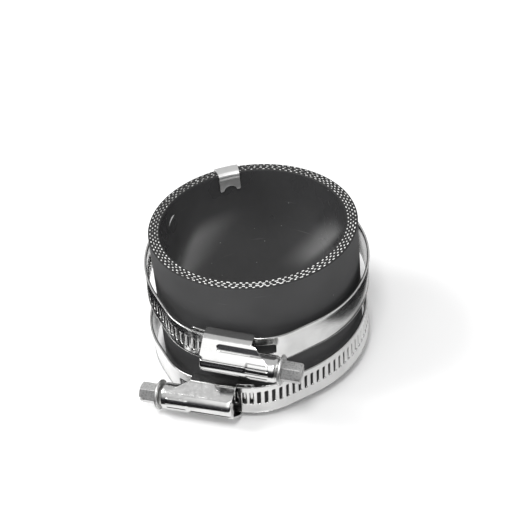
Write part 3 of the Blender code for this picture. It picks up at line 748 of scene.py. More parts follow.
BELT_TURN, BELT_SIDE = belt_angles()
BELT_HALF = FLAT_HALF + CORNER_RADIUS * BELT_TURN + BELT_SIDE + LOOP_RADIUS * (pi - BELT_TURN)
BELT_LENGTH = 2 * BELT_HALF
BAND_START = -(BODY_START + TONGUE_REACH)
BAND_END = BELT_LENGTH + BODY_END - FREE_END_INSET
LAST_SLOT = BAND_END - LAST_SLOT_INSET
FIRST_SLOT = LAST_SLOT - (SLOT_COUNT - 1) * SLOT_PITCH
WINDOW_START = PLATE_END - SHEET - GAP


def belt_point(distance):
    """Point and outward normal on the belt, by the distance from the middle of the flat."""
    if distance < 0 or distance > BELT_HALF:
        mirrored = -distance if distance < 0 else BELT_LENGTH - distance
        point, normal = belt_point(mirrored)
        return Vector((-point.x, point.y)), Vector((-normal.x, normal.y))
    if distance <= FLAT_HALF:
        return Vector((distance, -FLAT_DISTANCE)), Vector((0.0, -1.0))
    distance -= FLAT_HALF
    if distance <= CORNER_RADIUS * BELT_TURN:
        angle = distance / CORNER_RADIUS
        normal = Vector((sin(angle), -cos(angle)))
        return Vector((FLAT_HALF, CORNER_RADIUS - FLAT_DISTANCE)) + CORNER_RADIUS * normal, normal
    distance -= CORNER_RADIUS * BELT_TURN
    if distance <= BELT_SIDE:
        normal = Vector((sin(BELT_TURN), -cos(BELT_TURN)))
        along = Vector((cos(BELT_TURN), sin(BELT_TURN)))
        return LOOP_RADIUS * normal + (distance - BELT_SIDE) * along, normal
    angle = BELT_TURN + (distance - BELT_SIDE) / LOOP_RADIUS
    normal = Vector((sin(angle), -cos(angle)))
    return LOOP_RADIUS * normal, normal


def band_point(distance):
    """As belt_point, with the band winding outwards by one layer on its way round."""
    if distance > BELT_LENGTH - FLAT_HALF:
        return Vector((distance - BELT_LENGTH, -FLAT_DISTANCE - LAYER_STEP)), Vector((0.0, -1.0))
    start = NECK_END
    share = min(max((distance - start) / (BELT_LENGTH - 2 * start), 0.0), 1.0)
    point, normal = belt_point(distance)
    return point + normal * LAYER_STEP * share, normal


PATH_STEP = 0.5 * MM
PATH_MARGIN = 2.0 * MM


def path_object():
    """The band's middle line as a chain of points, each with its outward direction."""
    count = ceil((BAND_END - BAND_START + 2 * PATH_MARGIN) / PATH_STEP) + 1
    places = [band_point(BAND_START - PATH_MARGIN + step * PATH_STEP) for step in range(count)]
    mesh = bpy.data.meshes.new("band_path")
    mesh.from_pydata([(*point, 0.0) for point, _ in places],
                     [(step, step + 1) for step in range(count - 1)], [])
    outward = mesh.attributes.new("outward", "FLOAT_VECTOR", "POINT")
    outward.data.foreach_set("vector", [part for _, normal in places for part in (*normal, 0.0)])
    return link_object("band_path", mesh)


CREASE = BAND_WIDTH / 2 - BAND_EDGE_WIDTH
SIDE_STEPS = 10


def edge_profile():
    """(across, out) points round one turned-out edge of the strip, from outer face to inner."""
    half = BAND_THICKNESS / 2
    tip = 0.25 * MM
    points = []
    for side, share in ((1, 0.0), (1, 0.35), (1, 0.72)):
        across = CREASE + BAND_EDGE_WIDTH * share
        points.append((across, BAND_EDGE_RISE * share ** 2 + side * half))
    rise = BAND_EDGE_RISE
    limit = BAND_WIDTH / 2
    for step in range(5):
        angle = pi / 2 * (1 - step / 4)
        points.append((limit - tip * (1 - cos(angle)), rise + half - tip * (1 - sin(angle))))
    mirrored = [(across, 2 * BAND_EDGE_RISE * ((across - CREASE) / BAND_EDGE_WIDTH) ** 2 - out)
                for across, out in reversed(points)]
    return points + mirrored


def strip_profile():
    """Closed outline (across, out) of the plain strip."""
    side = [CREASE * (2 * step / SIDE_STEPS - 1) for step in range(SIDE_STEPS + 1)]
    edge = edge_profile()
    outer = [(across, BAND_THICKNESS / 2) for across in side[1:-1]]
    inner = [(across, -BAND_THICKNESS / 2) for across in reversed(side[1:-1])]
    other = [(-across, out) for across, out in reversed(edge)]
    return outer + edge + inner + other


def join_loops(bm, first, second, closed=True):
    count = len(first)
    for index in range(count if closed else count - 1):
        after = (index + 1) % count
        bm.faces.new((first[index], first[after], second[after], second[index]))


def add_plain_strip(bm, distances, tip_start=False, tip_end=False):
    """A closed length of plain strip; a tip has rounded corners and an end face."""
    profile = strip_profile()
    loops = []
    for distance in distances:
        scale = 1.0
        for wanted, end in ((tip_start, distances[0]), (tip_end, distances[-1])):
            inside = BAND_TIP_CORNER - abs(distance - end)
            if wanted and inside > 0:
                pull = BAND_TIP_CORNER - sqrt(max(BAND_TIP_CORNER ** 2 - inside ** 2, 0.0))
                scale = 1.0 - pull / (BAND_WIDTH / 2)
        loops.append([bm.verts.new((distance, across * scale, out)) for across, out in profile])
    for first, second in zip(loops, loops[1:]):
        join_loops(bm, first, second)
    for wanted, loop in ((tip_start, loops[0]), (tip_end, loops[-1])):
        if wanted:
            bm.faces.new(loop)


def rounded_ring(half_x, half_y, corner, top_steps, middle):
    """Points round a rounded rectangle, starting at its lower right corner's middle."""
    quarter = [pi / 4 * step / 2 for step in range(3)]
    straight_y = half_y - corner
    straight_x = half_x - corner
    right = []
    for angle in reversed(quarter):
        right.append((straight_x + corner * cos(angle), -straight_y - corner * sin(angle)))
    for step in range(1, SIDE_STEPS - 4):
        right.append((half_x, straight_y * (2 * step / (SIDE_STEPS - 4) - 1)))
    for angle in quarter:
        right.append((straight_x + corner * cos(angle), straight_y + corner * sin(angle)))
    top = []
    for angle in quarter[1:]:
        turn = pi / 4 + angle
        top.append((straight_x + corner * cos(turn), straight_y + corner * sin(turn)))
    for step in range(1, top_steps - 4):
        top.append((straight_x * (1 - 2 * step / (top_steps - 4)), half_y))
    for angle in quarter[:-1]:
        turn = pi / 2 + angle
        top.append((corner * cos(turn) - straight_x, straight_y + corner * sin(turn)))
    half = right + top
    ring = half + [(-x, -y) for x, y in half]
    return [(middle[0] + x, middle[1] + y) for x, y in ring]


def cell_ring(half_cell, top_steps, middle_x):
    """The cell's own outline, with as many points and in the same order."""
    right = [(half_cell, CREASE * (2 * step / SIDE_STEPS - 1)) for step in range(SIDE_STEPS + 1)]
    top = [(half_cell * (1 - 2 * step / top_steps), CREASE) for step in range(1, top_steps)]
    half = right + top
    ring = half + [(-x, -y) for x, y in half]
    return [(middle_x + x, y) for x, y in ring]


def add_holed_cell(bm, middle, half_cell, half_hole, corner, top_steps, lean=0.0, press=0.0):
    """A length of strip with one hole, whose lip can be pressed in on its leading side."""
    rim = 0.07 * MM
    reach = min(half_cell - half_hole[0], 0.62 * MM)
    offsets = [0.0, rim, 0.33 * reach, 0.58 * reach, 0.84 * reach]
    half = BAND_THICKNESS / 2
    outline = rounded_ring(*half_hole, corner, top_steps, (0.0, 0.0))
    grown = rounded_ring(half_hole[0] + MM, half_hole[1] + MM, corner + MM, top_steps, (0.0, 0.0))
    facing = [max(0.0, (a[0] - b[0]) / MM) for a, b in zip(outline, grown)]
    fronts = []
    backs = []
    for offset in offsets:
        ring = rounded_ring(half_hole[0] + offset, half_hole[1] + offset, corner + offset,
                            top_steps, (0.0, 0.0))
        fade = 1 - offset / reach
        front = []
        back = []
        for (x, y), side in zip(ring, facing):
            shift = lean * fade * y / half_hole[1] / 2
            sink = press * side ** 2 * fade ** 2
            round_off = rim if offset == 0.0 else 0.0
            place = (middle[0] + x + shift, middle[1] + y)
            front.append(bm.verts.new((*place, half - sink - round_off)))
            back.append(bm.verts.new((*place, -half - sink + round_off)))
        fronts.append(front)
        backs.append(back)
    outline = cell_ring(half_cell, top_steps, middle[0])
    fronts.append([bm.verts.new((x, y, half)) for x, y in outline])
    backs.append([bm.verts.new((x, y, -half)) for x, y in outline])
    for rings in (fronts, backs):
        for first, second in zip(rings, rings[1:]):
            join_loops(bm, first, second)
    join_loops(bm, fronts[0], backs[0])
    columns = [middle[0] + half_cell * (2 * step / top_steps - 1) for step in range(top_steps + 1)]
    for side in (1, -1):
        loops = [[bm.verts.new((x, side * across, out)) for across, out in edge_profile()]
                 for x in columns]
        for first, second in zip(loops, loops[1:]):
            join_loops(bm, first, second, closed=False)


def slot_cell_object(looks):
    bm = bmesh.new()
    add_holed_cell(bm, (0.0, -TUNNEL_OFFSET), SLOT_PITCH / 2,
                   (looks.slot_width / 2, SLOT_LENGTH / 2), 0.42 * MM, 6, SLOT_SKEW,
                   looks.slot_press)
    return link_object("slot_cell", to_mesh("slot_cell", bm))


def plain_blank_object():
    """The flat strip as it is cut, with its window, and room left for the slotted length."""
    margin = 1.0 * MM
    longest = 1.0 * MM
    window_middle = WINDOW_START + WINDOW_LENGTH / 2
    window_cell = WINDOW_LENGTH / 2 + margin
    slots_start = FIRST_SLOT - SLOT_PITCH / 2
    slots_end = LAST_SLOT + SLOT_PITCH / 2
    bm = bmesh.new()
    corner = [BAND_START + BAND_TIP_CORNER * share for share in (0.0, 0.1, 0.3, 0.6)]
    body = stations(BAND_START + BAND_TIP_CORNER, window_middle - window_cell, longest)
    add_plain_strip(bm, corner + body, tip_start=True)
    add_holed_cell(bm, (window_middle, WINDOW_OFFSET), window_cell,
                   (WINDOW_LENGTH / 2, WINDOW_WIDTH / 2), 1.0 * MM, 18)
    add_plain_strip(bm, stations(window_middle + window_cell, slots_start, longest))
    body = stations(slots_end, BAND_END - BAND_TIP_CORNER, longest)
    corner = [BAND_END - BAND_TIP_CORNER * share for share in (0.6, 0.3, 0.1, 0.0)]
    add_plain_strip(bm, body + corner, tip_end=True)
    return link_object("strip_blank", to_mesh("strip_blank", bm))


def band_tree():
    """Repeats the slotted cell along the flat strip, then rolls the strip round the loop."""
    tree = GeometryTree("Slotted clamp band")
    cell = tree.input("Slot Cell", "Object")
    path = tree.input("Path", "Object")
    count = tree.input("Slots", "Int")
    first = tree.input("First Slot", "Float")
    pitch = tree.input("Pitch", "Float")
    start = tree.input("Path Start", "Float")
    step = tree.input("Path Step", "Float")
    material = tree.input("Material", "Material")
    line = tree.add("GeometryNodeMeshLine", {
        "Count": count, "Start Location": tree.add("ShaderNodeCombineXYZ", {0: first}).outputs[0],
        "Offset": tree.add("ShaderNodeCombineXYZ", {0: pitch}).outputs[0]})
    shape = tree.add("GeometryNodeObjectInfo", {"Object": cell})
    cells = tree.add("GeometryNodeInstanceOnPoints",
                     {"Points": line.outputs[0], "Instance": shape.outputs["Geometry"]})
    solid = tree.add("GeometryNodeRealizeInstances", {0: cells.outputs[0]})
    joined = tree.add("GeometryNodeJoinGeometry")
    tree.link(tree.entry.outputs[0], joined.inputs[0])
    tree.link(solid.outputs[0], joined.inputs[0])
    welded = tree.add("GeometryNodeMergeByDistance", {0: joined.outputs[0], "Distance": 0.003 * MM})
    flat = tree.add("GeometryNodeInputPosition").outputs[0]
    marked = tree.add("GeometryNodeStoreNamedAttribute",
                      {"Geometry": welded.outputs[0], "Name": "strip", "Value": flat},
                      data_type="FLOAT_VECTOR", domain="POINT")
    parts = tree.add("ShaderNodeSeparateXYZ", {0: flat}).outputs
    along = tree.math("DIVIDE", tree.math("SUBTRACT", parts[0], start), step)
    whole = tree.math("FLOOR", along)
    rest = tree.math("SUBTRACT", along, whole)
    chain = tree.add("GeometryNodeObjectInfo", {"Object": path}).outputs["Geometry"]
    outward = tree.add("GeometryNodeInputNamedAttribute", {0: "outward"}, data_type="FLOAT_VECTOR")

    def sampled(value):
        ends = []
        for index in (whole, tree.math("ADD", whole, 1.0)):
            node = tree.add("GeometryNodeSampleIndex", {0: chain, "Value": value, "Index": index},
                            data_type="FLOAT_VECTOR")
            ends.append(node.outputs[0])
        mixed = tree.add("ShaderNodeMix", {0: rest, 4: ends[0], 5: ends[1]}, data_type="VECTOR")
        return mixed.outputs[1]

    middle = sampled(tree.add("GeometryNodeInputPosition").outputs[0])
    raised = tree.vector("SCALE", sampled(outward.outputs[0]), parts[2])
    across = tree.add("ShaderNodeCombineXYZ", {2: parts[1]}).outputs[0]
    rolled = tree.vector("ADD", tree.vector("ADD", middle, raised), across)
    bent = tree.add("GeometryNodeSetPosition", {"Geometry": marked.outputs[0], "Position": rolled})
    realized = tree.add("GeometryNodeRealizeInstances", {0: bent.outputs[0]})
    done = tree.add("GeometryNodeSetMaterial", {0: realized.outputs[0], "Material": material})
    tree.link(done.outputs[0], tree.exit.inputs[0])
    return tree


# Clamp housing


def shoulder_angles():
    """Angles at which the straight shoulders meet the tunnel, from the corners of the box."""
    angles = []
    for side in (1, -1):
        across = side * BODY_HALF_WIDTH + TUNNEL_OFFSET
        up = SHOULDER_OUT - SCREW_OUT
        angles.append(atan2(up, across) + side * acos(TUNNEL_RADIUS / hypot(across, up)))
    return angles[0], angles[1] % (2 * pi)


RIGHT_FOOT, LEFT_FOOT = shoulder_angles()
SEAM_ANGLE = radians(60)
RECESS_END = radians(84)
PADS = ((radians(40.5), radians(57.0)), (radians(62.0), radians(79.0)),
        (radians(100.0), radians(124.0)))
PAD_START = 9.4 * MM
PAD_END = 16.6 * MM
GROOVE_START = -0.6 * MM
GROOVE_SLOPE = 1.75                 # half widths over which the groove deepens across itself
GROOVE_SHALLOW = 0.12               # share of its depth at its shallow side
SEAM_RISE = 0.10 * MM               # of the outer layer, up to the seam
RECESS_DEPTH = 0.22 * MM            # of the inner layer, past the seam
MOUTH_FADE = radians(14)
MOUTH_LENGTH = 1.5 * MM
MOUTH_LIP = 1.6 * MM
MOUTH_LIP_INSET = 0.04 * MM
PINCH_LENGTH = 1.3 * MM
COLLAR_INSET = 0.05 * MM            # of the ring in the neck's end, from that end
TAB_BEND = 0.5 * MM
TAB_SETBACK = 0.1 * MM              # of the tab, from the plate's end
TAB_FOOT = 1.2 * MM                 # flat length before its bend
TAB_PROUD = 0.2 * MM                # above the band's outer face


def shoulder_height(across, angle):
    return SCREW_OUT + (TUNNEL_RADIUS - (across + TUNNEL_OFFSET) * cos(angle)) / sin(angle)


def tunnel_point(angle, radius=TUNNEL_RADIUS):
    return Vector((radius * cos(angle) - TUNNEL_OFFSET, SCREW_OUT + radius * sin(angle)))


def wrap_columns(looks):
    """(point, normal, kind, place) round the wrapped section; place is an angle or a distance."""
    half = BODY_HALF_WIDTH
    low_right = Vector((half, FLOOR_OUT))
    low_left = Vector((-half, FLOOR_OUT))
    high_right = Vector((half, shoulder_height(half, RIGHT_FOOT)))
    high_left = Vector((-half, shoulder_height(-half, LEFT_FOOT)))
    foot_right = tunnel_point(RIGHT_FOOT)
    foot_left = tunnel_point(LEFT_FOOT)
    bottom = Vector((0.0, FLOOR_OUT))
    corners = [(bottom, low_right, "plate"), (low_right, high_right, "wall"),
               (high_right, foot_right, "groove_side"), (foot_left, high_left, "narrow_side"),
               (high_left, low_left, "wall"), (low_left, bottom, "plate")]
    columns = []

    def straight(start, end, kind, cut_start, cut_end, longest):
        along = (end - start).normalized()
        normal = Vector((along.y, -along.x))
        length = (end - start).length
        for distance in stations(cut_start, length - cut_end, longest):
            columns.append((start + along * distance, normal, kind, distance))

    def turn_at(before, corner, after):
        first = (corner - before).normalized()
        second = (after - corner).normalized()
        return acos(max(-1.0, min(1.0, first.dot(second))))

    def bend(before, corner, after, kind, radius):
        first = (corner - before).normalized()
        turn = turn_at(before, corner, after)
        start_normal = Vector((first.y, -first.x))
        centre = corner - first * radius * tan(turn / 2) - start_normal * radius
        steps = 6
        for step in range(1, steps):
            angle = turn * step / steps
            normal = Vector((start_normal.x * cos(angle) - start_normal.y * sin(angle),
                             start_normal.x * sin(angle) + start_normal.y * cos(angle)))
            columns.append((centre + normal * radius, normal, kind, step / steps))

    low = looks.bend_radius
    high = looks.shoulder_bend
    cut_low = low * tan(turn_at(bottom, low_right, high_right) / 2)
    cut_right = high * tan(turn_at(low_right, high_right, foot_right) / 2)
    cut_left = high * tan(turn_at(foot_left, high_left, low_left) / 2)
    straight(*corners[0], 0.0, cut_low, MM)
    bend(bottom, low_right, high_right, "low_bend_right", low)
    straight(*corners[1], cut_low, cut_right, MM)
    bend(low_right, high_right, foot_right, "high_bend", high)
    straight(*corners[2], cut_right, 0.0, 0.22 * MM)
    angles = sorted({RIGHT_FOOT + (LEFT_FOOT - RIGHT_FOOT) * step / 30 for step in range(1, 30)}
                    | {SEAM_ANGLE + radians(shift) for shift in (-2.6, -1.3, 0.0, 0.9, 1.8, 3.2)}
                    | {limit + radians(shift) for pad in PADS for limit in pad for shift in (-2, 0, 2)
                       if RIGHT_FOOT + radians(1) < limit + radians(shift) < LEFT_FOOT})
    for angle in angles:
        columns.append((tunnel_point(angle), Vector((cos(angle), sin(angle))), "tunnel", angle))
    straight(*corners[3], 0.0, cut_left, 0.5 * MM)
    bend(foot_left, high_left, low_left, "high_bend", high)
    straight(*corners[4], cut_left, cut_low, MM)
    bend(high_left, low_left, bottom, "low_bend_left", low)
    straight(*corners[5], cut_low, 0.0, MM)
    return columns[:-1]


def wrap_end(point, kind, place):
    """Where the wrapped sheet ends along X for a column."""
    if kind == "plate":
        return PLATE_END
    if kind == "low_bend_right":
        return PLATE_END + (BODY_END - PLATE_END) * place
    if kind == "low_bend_left":
        return BODY_END + (PLATE_END - BODY_END) * place
    if kind in ("wall", "high_bend"):
        return BODY_END
    if kind == "tunnel":
        return NECK_START
    foot = tunnel_point(RIGHT_FOOT if kind == "groove_side" else LEFT_FOOT)
    share = (BODY_HALF_WIDTH - abs(point.x)) / (BODY_HALF_WIDTH - abs(foot.x))
    return BODY_END + (NECK_START - BODY_END) * max(share, 0.0)


def neck_pinch(looks, x):
    """How far the neck's end is drawn in behind the screw's flange."""
    return looks.neck_pinch * smooth_step(NECK_END - PINCH_LENGTH, NECK_END, x)


def pressed_height(looks, x, kind, place):
    """How far the sheet is pressed out, or in where negative, at a place on the housing."""
    if kind == "groove_side":
        high_right = Vector((BODY_HALF_WIDTH, shoulder_height(BODY_HALF_WIDTH, RIGHT_FOOT)))
        middle = (tunnel_point(RIGHT_FOOT) - high_right).length / 2
        half = looks.groove_half
        off = hypot(min(x - GROOVE_START, 0.0), place - middle)
        sloped = min(max((place - middle + half) / (GROOVE_SLOPE * half), GROOVE_SHALLOW), 1.0)
        return -looks.groove_depth * sloped * (1 - smooth_step(0.8 * half, half, off))
    if kind != "tunnel":
        return 0.0
    fade = 1 - smooth_step(PAD_START - 1.2 * MM, PAD_START - 0.3 * MM, x)
    seam = smooth_step(radians(-2.6), 0.0, place - SEAM_ANGLE) * SEAM_RISE
    if place > SEAM_ANGLE + radians(0.5):
        back = smooth_step(SEAM_ANGLE + radians(8), RECESS_END, place)
        seam = -RECESS_DEPTH * (1 - back)
    height = seam * fade - neck_pinch(looks, x)
    side = smooth_step(RIGHT_FOOT, RIGHT_FOOT + MOUTH_FADE, place)
    side *= 1 - smooth_step(LEFT_FOOT - MOUTH_FADE, LEFT_FOOT, place)
    mouth = min(max(1 - (x + BODY_START) / MOUTH_LENGTH, 0.0), 1.0)
    height -= looks.mouth_roll * side * (1 - sqrt(1 - mouth ** 2))
    for low, high in PADS:
        side = smooth_step(low - radians(2), low + radians(1), place)
        side *= 1 - smooth_step(high - radians(1), high + radians(2), place)
        length = smooth_step(PAD_START - 0.35 * MM, PAD_START + 0.25 * MM, x)
        length *= 1 - smooth_step(PAD_END - 0.25 * MM, PAD_END + 0.35 * MM, x)
        height += looks.pad_rise * side * length
    return height


def add_wrap(bm, looks):
    """The sheet wrapped round both layers of the band, with its tunnel and the neck's top."""
    columns = wrap_columns(looks)
    body_rows = 68
    crowding = 1.5
    neck_rows = 14
    fronts = []
    backs = []
    for row in range(body_rows + neck_rows + 1):
        front = []
        back = []
        for point, normal, kind, place in columns:
            end = wrap_end(point, kind, place)
            x = -BODY_START + (end + BODY_START) * min(row / body_rows, 1.0) ** crowding
            if row > body_rows:
                x = NECK_START + (NECK_END - NECK_START) * (row - body_rows) / neck_rows
            height = pressed_height(looks, x, kind, place)
            outer = point + normal * height
            inner = outer - normal * SHEET
            front.append(bm.verts.new((x, -FLAT_DISTANCE - outer.y, outer.x)))
            back.append(bm.verts.new((x, -FLAT_DISTANCE - inner.y, inner.x)))
        fronts.append(front)
        backs.append(back)
    kinds = [column[2] for column in columns]
    feet = [index for index, kind in enumerate(kinds) if kind == "tunnel"]
    first = feet[0] - 1
    last = feet[-1] + 1
    cells = [(row, column) for row in range(body_rows) for column in range(len(columns))]
    cells += [(row, column) for row in range(body_rows, body_rows + neck_rows)
              for column in range(first, last)]
    add_sheet(bm, fronts, backs, cells, closed=True)


def add_neck_underside(bm, looks):
    """The lower half of the neck, from one foot of the tunnel round to the other."""
    steps = 26
    sweep = 2 * pi - (LEFT_FOOT - RIGHT_FOOT)
    fronts = []
    backs = []
    for x in stations(BODY_END, NECK_END, 0.4 * MM):
        front = []
        back = []
        outer = TUNNEL_RADIUS - neck_pinch(looks, x)
        for step in range(steps + 1):
            angle = RIGHT_FOOT - sweep * step / steps
            for row, radius in ((front, outer), (back, outer - SHEET)):
                point = tunnel_point(angle, radius)
                row.append(bm.verts.new((x, -FLAT_DISTANCE - point.y, point.x)))
        fronts.append(front)
        backs.append(back)
    cells = [(row, column) for row in range(len(fronts) - 1) for column in range(steps)]
    add_sheet(bm, fronts, backs, cells)


def add_ring(bm, x_low, x_high, inner, outer, segments=64):
    """A ring round the screw's axis, closed all round."""
    profile = [(x_low, inner), (x_low, outer), (x_high, outer), (x_high, inner)]
    rings = revolve(bm, profile, segments)
    join_loops(bm, rings[-1], rings[0])
    bmesh.ops.translate(bm, verts=[vert for ring in rings for vert in ring], vec=SCREW_PLACE)


def add_mouth_lip(bm, looks):
    """The lip turned in at the tunnel's mouth, which keeps the screw from backing out."""
    outer = TUNNEL_RADIUS - looks.mouth_roll - SHEET / 2
    inner = outer - MOUTH_LIP
    start = -BODY_START + MOUTH_LIP_INSET
    steps = 24
    first = RIGHT_FOOT + MOUTH_FADE / 2
    last = LEFT_FOOT - MOUTH_FADE / 2
    fronts = []
    backs = []
    for step in range(steps + 1):
        angle = first + (last - first) * step / steps
        for rows, x in ((fronts, start), (backs, start + SHEET)):
            points = [tunnel_point(angle, radius) for radius in (outer, inner)]
            rows.append([bm.verts.new((x, -FLAT_DISTANCE - point.y, point.x)) for point in points])
    add_sheet(bm, fronts, backs, [(row, 0) for row in range(steps)])


def add_tab(bm):
    """The plate's end, bent up through the band's window."""
    fronts = []
    backs = []
    end = PLATE_END - SHEET
    low = -BAND_THICKNESS / 2 - GAP
    path = [(end - TAB_FOOT, low)]
    for step in range(5):
        angle = pi / 2 * step / 4
        path.append((end - TAB_BEND * (1 - sin(angle)) - TAB_SETBACK,
                     low + TAB_BEND * (1 - cos(angle))))
    path.append((end - TAB_SETBACK, BAND_THICKNESS / 2 + TAB_PROUD))
    for across in stations(-TAB_WIDTH / 2, TAB_WIDTH / 2, 0.5 * MM):
        front = []
        back = []
        for index, (x, out) in enumerate(path):
            nearer = path[max(index - 1, 0)]
            further = path[min(index + 1, len(path) - 1)]
            along = Vector((further[0] - nearer[0], further[1] - nearer[1])).normalized()
            front.append(bm.verts.new((x, -FLAT_DISTANCE - out, across)))
            x += along.y * SHEET
            out -= along.x * SHEET
            back.append(bm.verts.new((x, -FLAT_DISTANCE - out, across)))
        fronts.append(front)
        backs.append(back)
    cells = [(row, column) for row in range(len(fronts) - 1) for column in range(len(path) - 1)]
    add_sheet(bm, fronts, backs, cells)


def housing_mesh(looks):
    bm = bmesh.new()
    add_wrap(bm, looks)
    add_neck_underside(bm, looks)
    add_ring(bm, NECK_END - SHEET, NECK_END - COLLAR_INSET, GROOVE_RADIUS + GAP,
             TUNNEL_RADIUS - looks.neck_pinch - SHEET / 2)
    add_mouth_lip(bm, looks)
    add_tab(bm)
    mesh = bevelled("housing", to_mesh("housing", bm), looks.edge_bevel)
    return smooth(mesh, radians(40))


# Clamp screw


def thread_radius(looks, x, angle):
    """Radius of the right-handed worm at a place along and round it."""
    root = 2.75 * MM
    turn = (x / SLOT_PITCH - angle / (2 * pi)) % 1.0
    flank = 0.24
    crest = 0.22
    off = abs(turn - 0.5)
    return root + (looks.thread_radius - root) * (1 - smooth_step(crest / 2, crest / 2 + flank, off))


WORM_MARK = GROOVE_RADIUS * 1.01    # radius at which a profile's point follows the thread
TURNED_TIP = 0.0001 * MM            # radius that closes a turned profile on its axis


def add_worm(bm, looks):
    """The worm: rings whose radius follows the thread, then the groove behind the flange."""
    start = 1.0 * MM - BODY_START
    end = NECK_END - NECK_LIP - GAP
    taper = 1.2 * MM

    def radius_at(x, radius, angle):
        if radius < GROOVE_RADIUS:
            return radius
        inside = min(x - start, end - x)
        share = smooth_step(0.0, taper, inside)
        return GROOVE_RADIUS + (thread_radius(looks, x, angle) - GROOVE_RADIUS) * share

    flange = NECK_END + GAP
    profile = [(start, TURNED_TIP), (start, GROOVE_RADIUS * 0.8)]
    profile += [(x, WORM_MARK) for x in stations(start, end, 0.16 * MM)]
    profile += [(end + 0.1 * MM, GROOVE_RADIUS * 0.999), (flange, GROOVE_RADIUS * 0.999),
                (flange, TURNED_TIP)]
    revolve(bm, profile, 48, radius_at=radius_at)


def add_flange(bm):
    """The washer face behind the hexagon, with rounded edges and a shallow recess."""
    start = NECK_END + GAP
    edge = 0.42 * MM
    recess_rim = 3.9 * MM
    recess = 3.6 * MM
    recess_depth = 0.12 * MM
    corner = [(start, FLANGE_RADIUS - edge)]
    for step in range(1, 5):
        angle = pi / 2 * step / 4
        corner.append((start + edge * (1 - cos(angle)), FLANGE_RADIUS - edge * (1 - sin(angle))))
    top = start + FLANGE_THICKNESS
    for step in range(5):
        angle = pi / 2 * step / 4
        corner.append((top - edge * (1 - sin(angle)), FLANGE_RADIUS - edge * (1 - cos(angle))))
    floor = top - recess_depth
    profile = [(start, TURNED_TIP)] + corner + [(top, recess_rim), (floor, recess), (floor, TURNED_TIP)]
    revolve(bm, profile, 72)


def add_hexagon(bm):
    """Hexagon with the curved edges that a turned chamfer leaves."""
    base = NECK_END + GAP + FLANGE_THICKNESS / 2
    end = HEAD_END
    corner = HEX_HALF_FLATS / cos(pi / 6)
    slope = tan(radians(62))
    face = corner - HEX_CHAMFER

    def radius_at(x, radius, angle):
        if radius < face:
            return radius
        turn = (angle % (pi / 3)) - pi / 6
        flat = HEX_HALF_FLATS / cos(turn)
        return min(flat, face + (end - x) * slope)

    longest = (corner - face) / slope
    profile = [(base, TURNED_TIP), (base, corner)]
    profile += [(x, corner) for x in stations(base + MM, end - longest, 1.2 * MM)]
    profile += [(x, corner) for x in stations(end - longest, end, longest / 6)[1:]]
    profile += [(end, face * 0.98), (end, TURNED_TIP)]
    revolve(bm, profile, 96, radius_at=radius_at)


def screw_mesh(looks):
    bm = bmesh.new()
    add_worm(bm, looks)
    add_flange(bm)
    add_hexagon(bm)
    mesh = to_mesh("screw", bm)
    item = link_object("screw_form", mesh)
    cutter_bm = bmesh.new()
    bmesh.ops.create_cube(cutter_bm, size=1.0)
    cutter_mesh = to_mesh("driver_slot", cutter_bm)
    cutter_mesh.transform(Matrix.Diagonal((2 * DRIVER_SLOT_DEPTH, 3 * HEX_HALF_FLATS,
                                           DRIVER_SLOT_WIDTH, 1.0)))
    cutter_mesh.transform(Matrix.Translation((HEAD_END, 0.0, 0.0)))
    cutter = link_object("driver_slot", cutter_mesh)
    cut = item.modifiers.new("driver_slot", "BOOLEAN")
    cut.operation = "DIFFERENCE"
    cut.solver = "EXACT"
    cut.object = cutter
    result = applied(item)
    bpy.data.objects.remove(item, do_unlink=True)
    bpy.data.objects.remove(cutter, do_unlink=True)
    result.transform(Matrix.Translation(SCREW_PLACE))
    mesh = smooth(bevelled("screw", result, 0.05 * MM), radians(35))
    headed = mesh.attributes.new("head", "FLOAT", "POINT")
    headed.data.foreach_set("value", [float(vert.co.x > NECK_END) for vert in mesh.vertices])
    return mesh


def clamp_matrix(name):
    """Where a clamp hangs: its axis leans, it turns about that axis, and its screw is given."""
    lean, turn, flipped = CLAMPS[name]
    axis = Vector((lean[0], lean[1], 1.0)).normalized()
    across = Vector((0.0, 1.0, 0.0)).cross(axis).normalized()
    inward = axis.cross(across)
    along = cos(turn) * across + sin(turn) * inward
    inward = cos(turn) * inward - sin(turn) * across
    if flipped:
        along = -along
        axis = -axis
    rotation = Matrix((along, inward, axis)).transposed()
    joint = next(item for item in frame["joints"] if item["name"] == name + "_screw_turn")
    place = Vector(joint["pos_m"]) - rotation @ SCREW_PLACE
    return Matrix.Translation(place) @ rotation.to_4x4()


# Rim clip


def rounded_path(points, radii, steps=5):
    """The same polyline with its corners rounded."""
    path = [Vector(points[0])]
    for before, corner, after, radius in zip(points, points[1:], points[2:], radii):
        corner = Vector(corner)
        first = (corner - Vector(before)).normalized()
        second = (Vector(after) - corner).normalized()
        turn = acos(max(-1.0, min(1.0, first.dot(second))))
        cut = radius * tan(turn / 2)
        side = 1.0 if first.x * second.y - first.y * second.x > 0 else -1.0
        normal = side * Vector((-first.y, first.x))
        centre = corner - first * cut + normal * radius
        for step in range(steps + 1):
            angle = side * turn * step / steps
            arm = -normal
            path.append(centre + radius * Vector((arm.x * cos(angle) - arm.y * sin(angle),
                                                  arm.x * sin(angle) + arm.y * cos(angle))))
    path.append(Vector(points[-1]))
    return path


